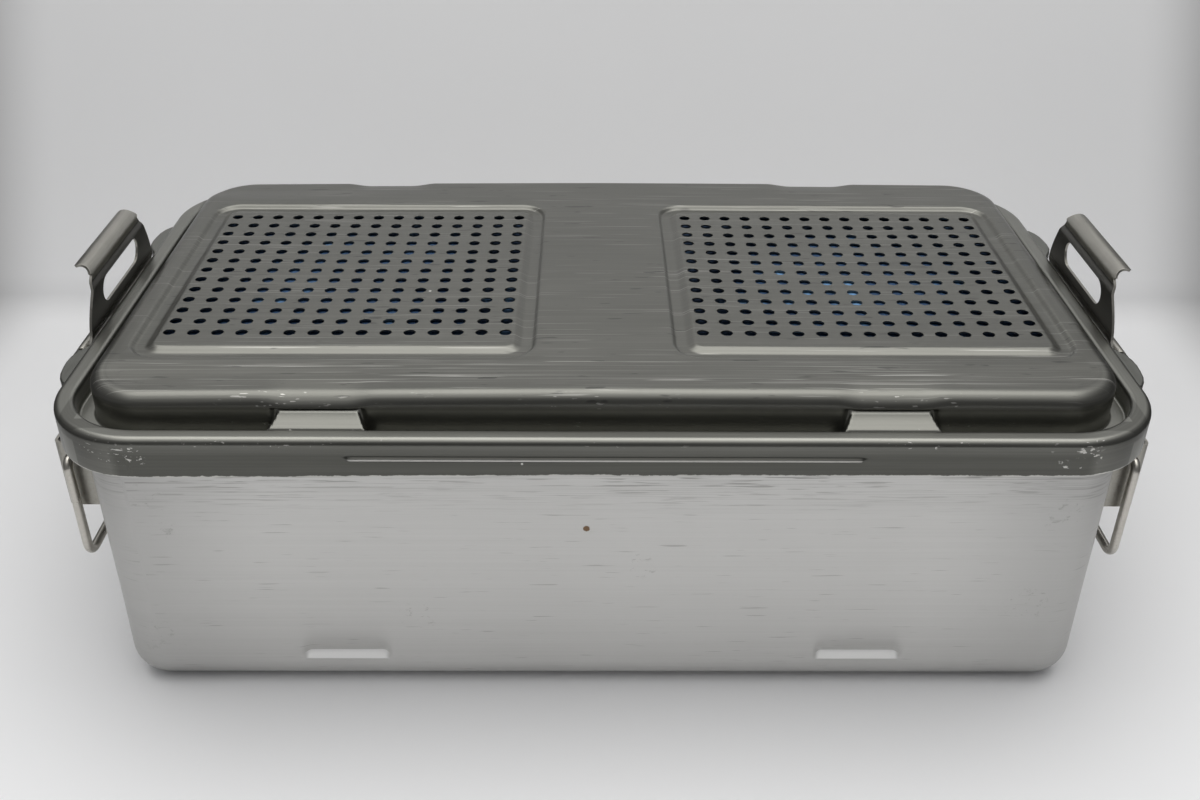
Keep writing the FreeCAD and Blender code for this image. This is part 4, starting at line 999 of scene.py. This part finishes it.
def mat_filter():
    M = Mat("filter_blue")
    oc = M.coords()
    v = M.n("ShaderNodeTexVoronoi")
    v.inputs["Scale"].default_value = 700.0
    M.l(oc, v.inputs["Vector"])
    fib = M.noise(M.mapping(oc, (900.0, 260.0, 400.0)), 1.0, 4.0, 0.65, 1.2)
    big = M.noise(M.mapping(oc, (25.0, 25.0, 25.0)), 1.0, 3.0, 0.5)
    t = M.math("ADD", M.math("MULTIPLY", fib, 0.7), M.math("MULTIPLY", big, 0.3))
    col = M.ramp(t, [(0.3, (0.010, 0.030, 0.075)), (0.5, (0.018, 0.055, 0.13)), (0.72, (0.05, 0.12, 0.24))])
    # painted light: lighter blue patches stand in for light reaching the filter through the holes
    light_spots = M.maprange(M.noise(M.mapping(oc, (38.0, 30.0, 30.0), (0.35, 0.2, 0.0)), 1.0, 2.0, 0.5), 0.60, 0.68, 0, 0.8)
    col = M.mix(light_spots, col, (0.16, 0.34, 0.60))
    M.l(col, M.b.inputs["Base Color"])
    M.b.inputs["Roughness"].default_value = 0.85
    M.bump(M.math("ADD", fib, M.math("MULTIPLY", v.outputs["Distance"], 0.6)), 0.5, 0.00025)
    return M.m


m_lid, m_pan, m_steel, m_sil, m_filter = mat_lid(), mat_pan(), mat_steel(), mat_silicone(), mat_filter()
m_wing = mat_steel("stainless_dull", (0.17, 0.172, 0.16), 0.42)
m_latch = mat_steel("stainless_latch", (0.36, 0.35, 0.32), 0.30)
m_brk = mat_steel("stainless_bracket", (0.34, 0.33, 0.30), 0.34)
# painted shade: a dark copy of the stainless steel for the latch plates' inner faces
m_latch_inner_shade = mat_steel("stainless_inner_painted_shade", (0.13, 0.127, 0.12), 0.36)
m_ret = mat_steel("retainer_anodised", (0.55, 0.55, 0.54), 0.42)

SLOT_MAT = {"lid_anodised": m_lid, "pan_anodised": m_pan, "stainless": m_steel, "silicone": m_sil, "filter_blue": m_filter, "retainer_anodised": m_ret}
node_slot = {}
for sp in frame["record"].get("subparts", []):
    node_slot[sp.get("node") or sp.get("name")] = sp.get("material") or sp.get("material_slot") or sp.get("slot")

for name, ob in frame["nodes"].items():
    mat = SLOT_MAT.get(node_slot.get(name), m_steel)
    if "wing" in name or name.startswith("latch_bracket") and "rivets" not in name:
        mat = m_wing
    elif name.startswith("handle_bracket"):
        mat = m_brk
    if not ob.material_slots:
        ob.data.materials.append(mat)
    for s in ob.material_slots:
        s.material = mat

# =====================================================================
# the re-made pieces
# =====================================================================
v, f, n, u = build_lid()
lid = mesh_object("lid_shell_pressed", v, f, n, u, m_lid)
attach(lid, "lid")
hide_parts("lid_shell")

v, f, n, u = build_pan()
pan = mesh_object("base_pan_drawn", v, f, n, u, m_pan)
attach(pan, "base")
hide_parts("base_pan")

for side, sg in (("left", -1), ("right", 1)):
    v, f = build_latch(sg)
    ob = mesh_object("latch_plate_" + side, v, f, None, None, m_latch)
    ob.data.update()
    ob.data.materials.append(m_latch_inner_shade)
    # painted shade: the inward-facing faces of the latch web get the dark copy of the steel
    for p in ob.data.polygons:
        if p.normal.x * sg < -0.5 and 0.1735 < p.center.z < 0.2005 and abs(p.center.x) < 0.2855:
            p.material_index = 1
    soft_edges(ob, 0.35, 2, 40)
    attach(ob, "latch_" + side)
    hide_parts("latch_" + side)


# filter sheets: a thin nonwoven, bulged up against the holes in places
def build_filter(sx):
    x0, x1, y0, y1 = -245.5, -37.3, -101.5, 95.0
    nx, ny = 105, 99
    X = np.linspace(x0 + 0.4, x1 - 0.4, nx)
    Y = np.linspace(y0 + 0.4, y1 - 0.4, ny)
    gx, gy = np.meshgrid(X, Y, indexing="ij")
    d = np.minimum(np.minimum(gx - x0, x1 - gx), np.minimum(gy - y0, y1 - gy))
    bulge = sm((d - 10) / 45.0) * 1.2 + waves(gx, gy, 40 + (sx > 0), 60.0, 0.9) * sm((d - 8) / 20.0)
    z = 183.75 + np.clip(bulge - 0.4, -0.05, 1.3)
    x = gx if sx < 0 else -gx
    roof = top_height(x, gy) - TH - 0.08
    z = np.maximum(np.minimum(z, roof), 183.68)
    V = np.stack([x, gy, z], -1).reshape(-1, 3)
    F = []
    for i in range(nx - 1):
        for j in range(ny - 1):
            a = i * ny + j
            q = (a, a + ny, a + ny + 1, a + 1)
            F.append(q if sx < 0 else q[::-1])
    nrm = vertex_normals(V, F)
    nv = len(V)
    V2 = V - nrm * 0.35
    faces = F + [tuple(nv + k for k in f[::-1]) for f in F]
    for a, b in boundary_loops(F, nv):
        faces.append((b, a, a + nv, b + nv))
    return np.concatenate([V, V2]), faces


for side, sg in (("left", -1), ("right", 1)):
    v, f = build_filter(sg)
    ob = mesh_object("filter_paper_" + side, v, f, None, None, m_filter)
    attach(ob, "lid")
    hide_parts("filter_sheet_" + side)

# carried-over nodes get small edge roundings
for nm in ("handle_bracket_left", "handle_bracket_right", "latch_bracket_left", "latch_bracket_right"):
    soft_edges(frame["nodes"][nm], 0.3, 2, 40)

# =====================================================================
# stage, lights, camera
# =====================================================================
def build_stage():
    """floor and back wall in one smooth sweep"""
    prof = [(-2600, -0.0)]
    prof += [(-2000, 0), (-1200, 0), (-600, 0), (0, 0), (250, 0)]
    r = 30.0
    yb = 300.0
    lean = math.radians(62)
    prof += [(yb - r * math.tan(lean / 2) + r * math.sin(a), r - r * math.cos(a)) for a in np.linspace(0, lean, 9)]
    y1, z1 = prof[-1]
    prof += [(y1 + L * math.cos(lean), z1 + L * math.sin(lean)) for L in (150, 320, 520, 640)]
    xs = [-3000, -1500, -750, 0, 750, 1500, 3000]
    V, F = [], []
    for x in xs:
        for y, z in prof:
            V.append((x, y, z - 0.05))
    m = len(prof)
    for i in range(len(xs) - 1):
        for j in range(m - 1):
            a = i * m + j
            F.append((a, a + m, a + m + 1, a + 1))
    return V, F


M = Mat("stage_pale")
oc = M.coords()
n1 = M.noise(M.mapping(oc, (2.0, 2.0, 2.0)), 1.0, 3.0, 0.5)
sx, sy, sz = M.sep(oc)
# painted shade on the stage: the floor is painted dark outside a central area, standing in for the unlit room, and
# the floor and the foot of the wall are painted darker towards the back, standing in for the light falling off
floor_lit_zone = M.math("MULTIPLY", M.band(sx, -0.53, 0.53, 0.07), M.maprange(sy, -0.85, -0.6, 0, 1, True))
floor_back_shade = M.math("MULTIPLY", M.maprange(sy, -0.25, 0.20, 0, 0.33, True), M.maprange(sz, 0.0, 0.03, 1.0, 0.42))
M.l(M.mix(floor_lit_zone, (0.10, 0.10, 0.10), M.mix(floor_back_shade, M.ramp(n1, [(0.3, (0.855, 0.86, 0.875)), (0.7, (0.885, 0.89, 0.905))]), (0.25, 0.25, 0.255))), M.b.inputs["Base Color"])
M.b.inputs["Roughness"].default_value = 0.75
M.b.inputs["Specular IOR Level"].default_value = 0.2
v, f = build_stage()
floor = mesh_object("stage_sweep", v, f, None, None, M.m)

w = bpy.data.worlds.new("studio")
bpy.context.scene.world = w
w.use_nodes = True
nt = w.node_tree
nt.nodes.clear()
wo = nt.nodes.new("ShaderNodeOutputWorld")
bg = nt.nodes.new("ShaderNodeBackground")
nt.links.new(bg.outputs[0], wo.inputs[0])
tc = nt.nodes.new("ShaderNodeTexCoord")
sp = nt.nodes.new("ShaderNodeSeparateXYZ")
nt.links.new(tc.outputs["Generated"], sp.inputs[0])


def wmath(op, a, b, clamp=False):
    nd = nt.nodes.new("ShaderNodeMath")
    nd.operation = op
    nd.use_clamp = clamp
    for k, v in enumerate((a, b)):
        if isinstance(v, (int, float)):
            nd.inputs[k].default_value = v
        else:
            nt.links.new(v, nd.inputs[k])
    return nd.outputs[0]


def wmap(v, a, b, c, d):
    nd = nt.nodes.new("ShaderNodeMapRange")
    nd.interpolation_type = "SMOOTHSTEP"
    for k, x in zip(("From Min", "From Max", "To Min", "To Max"), (a, b, c, d)):
        nd.inputs[k].default_value = x
    nt.links.new(v, nd.inputs[0])
    return nd.outputs[0]


# a dim room: a pale wall behind, a paler ceiling, dark in front and at the sides
side = wmap(wmath("ABSOLUTE", sp.outputs[0], 0.0), 0.35, 0.85, 1.0, 0.0)
back = wmath("MULTIPLY", wmap(sp.outputs[1], 0.05, 0.7, 0.0, 0.44), wmath("ADD", wmath("MULTIPLY", side, 0.7), 0.3))
topl = wmap(sp.outputs[2], 0.40, 1.0, 0.0, 0.55)
val = wmath("ADD", wmath("ADD", back, topl), 0.17)
nt.links.new(val, bg.inputs[0])
bg.inputs[1].default_value = 1.0


def area(name, loc, target, size, power, color=(1, 1, 1)):
    L = bpy.data.lights.new(name, "AREA")
    L.shape = "RECTANGLE"
    L.size, L.size_y = size
    L.energy = power
    L.color = color
    o = bpy.data.objects.new(name, L)
    bpy.context.scene.collection.objects.link(o)
    o.location = loc
    d = Vector(target) - Vector(loc)
    o.rotation_euler = d.to_track_quat("-Z", "Y").to_euler()
    return o


area("front_top", (0.0, -0.72, 1.75), (0.0, -0.1, 0.0), (2.6, 1.0), 5.2, (1.0, 0.99, 0.97))
area("key_top", (0.0, 0.24, 1.75), (0.0, 0.08, 0.1), (2.3, 1.25), 18.0, (1.0, 0.99, 0.965))

cam_data = bpy.data.cameras.new("camera")
cam = bpy.data.objects.new("camera", cam_data)
bpy.context.scene.collection.objects.link(cam)
cam_data.sensor_width = 36.0
cam_data.sensor_fit = "HORIZONTAL"
cam_data.lens = 1252.0 / 1200.0 * 36.0
cam_data.clip_start, cam_data.clip_end = 0.01, 50
el, roll, yaw = math.radians(31.54), math.radians(0.52), math.radians(-0.67)
R = Matrix.Rotation(yaw, 4, "Z") @ Matrix.Rotation(math.pi / 2 - el, 4, "X") @ Matrix.Rotation(roll, 4, "Z")
cam.matrix_world = Matrix.Translation((-0.0088, -0.6612, 0.5047)) @ R
bpy.context.scene.camera = cam

vs = bpy.context.scene.view_settings
vs.view_transform = "Standard"
vs.look = "None"
vs.exposure = 0.0
vs.gamma = 1.0

bpy.context.view_layer.update()
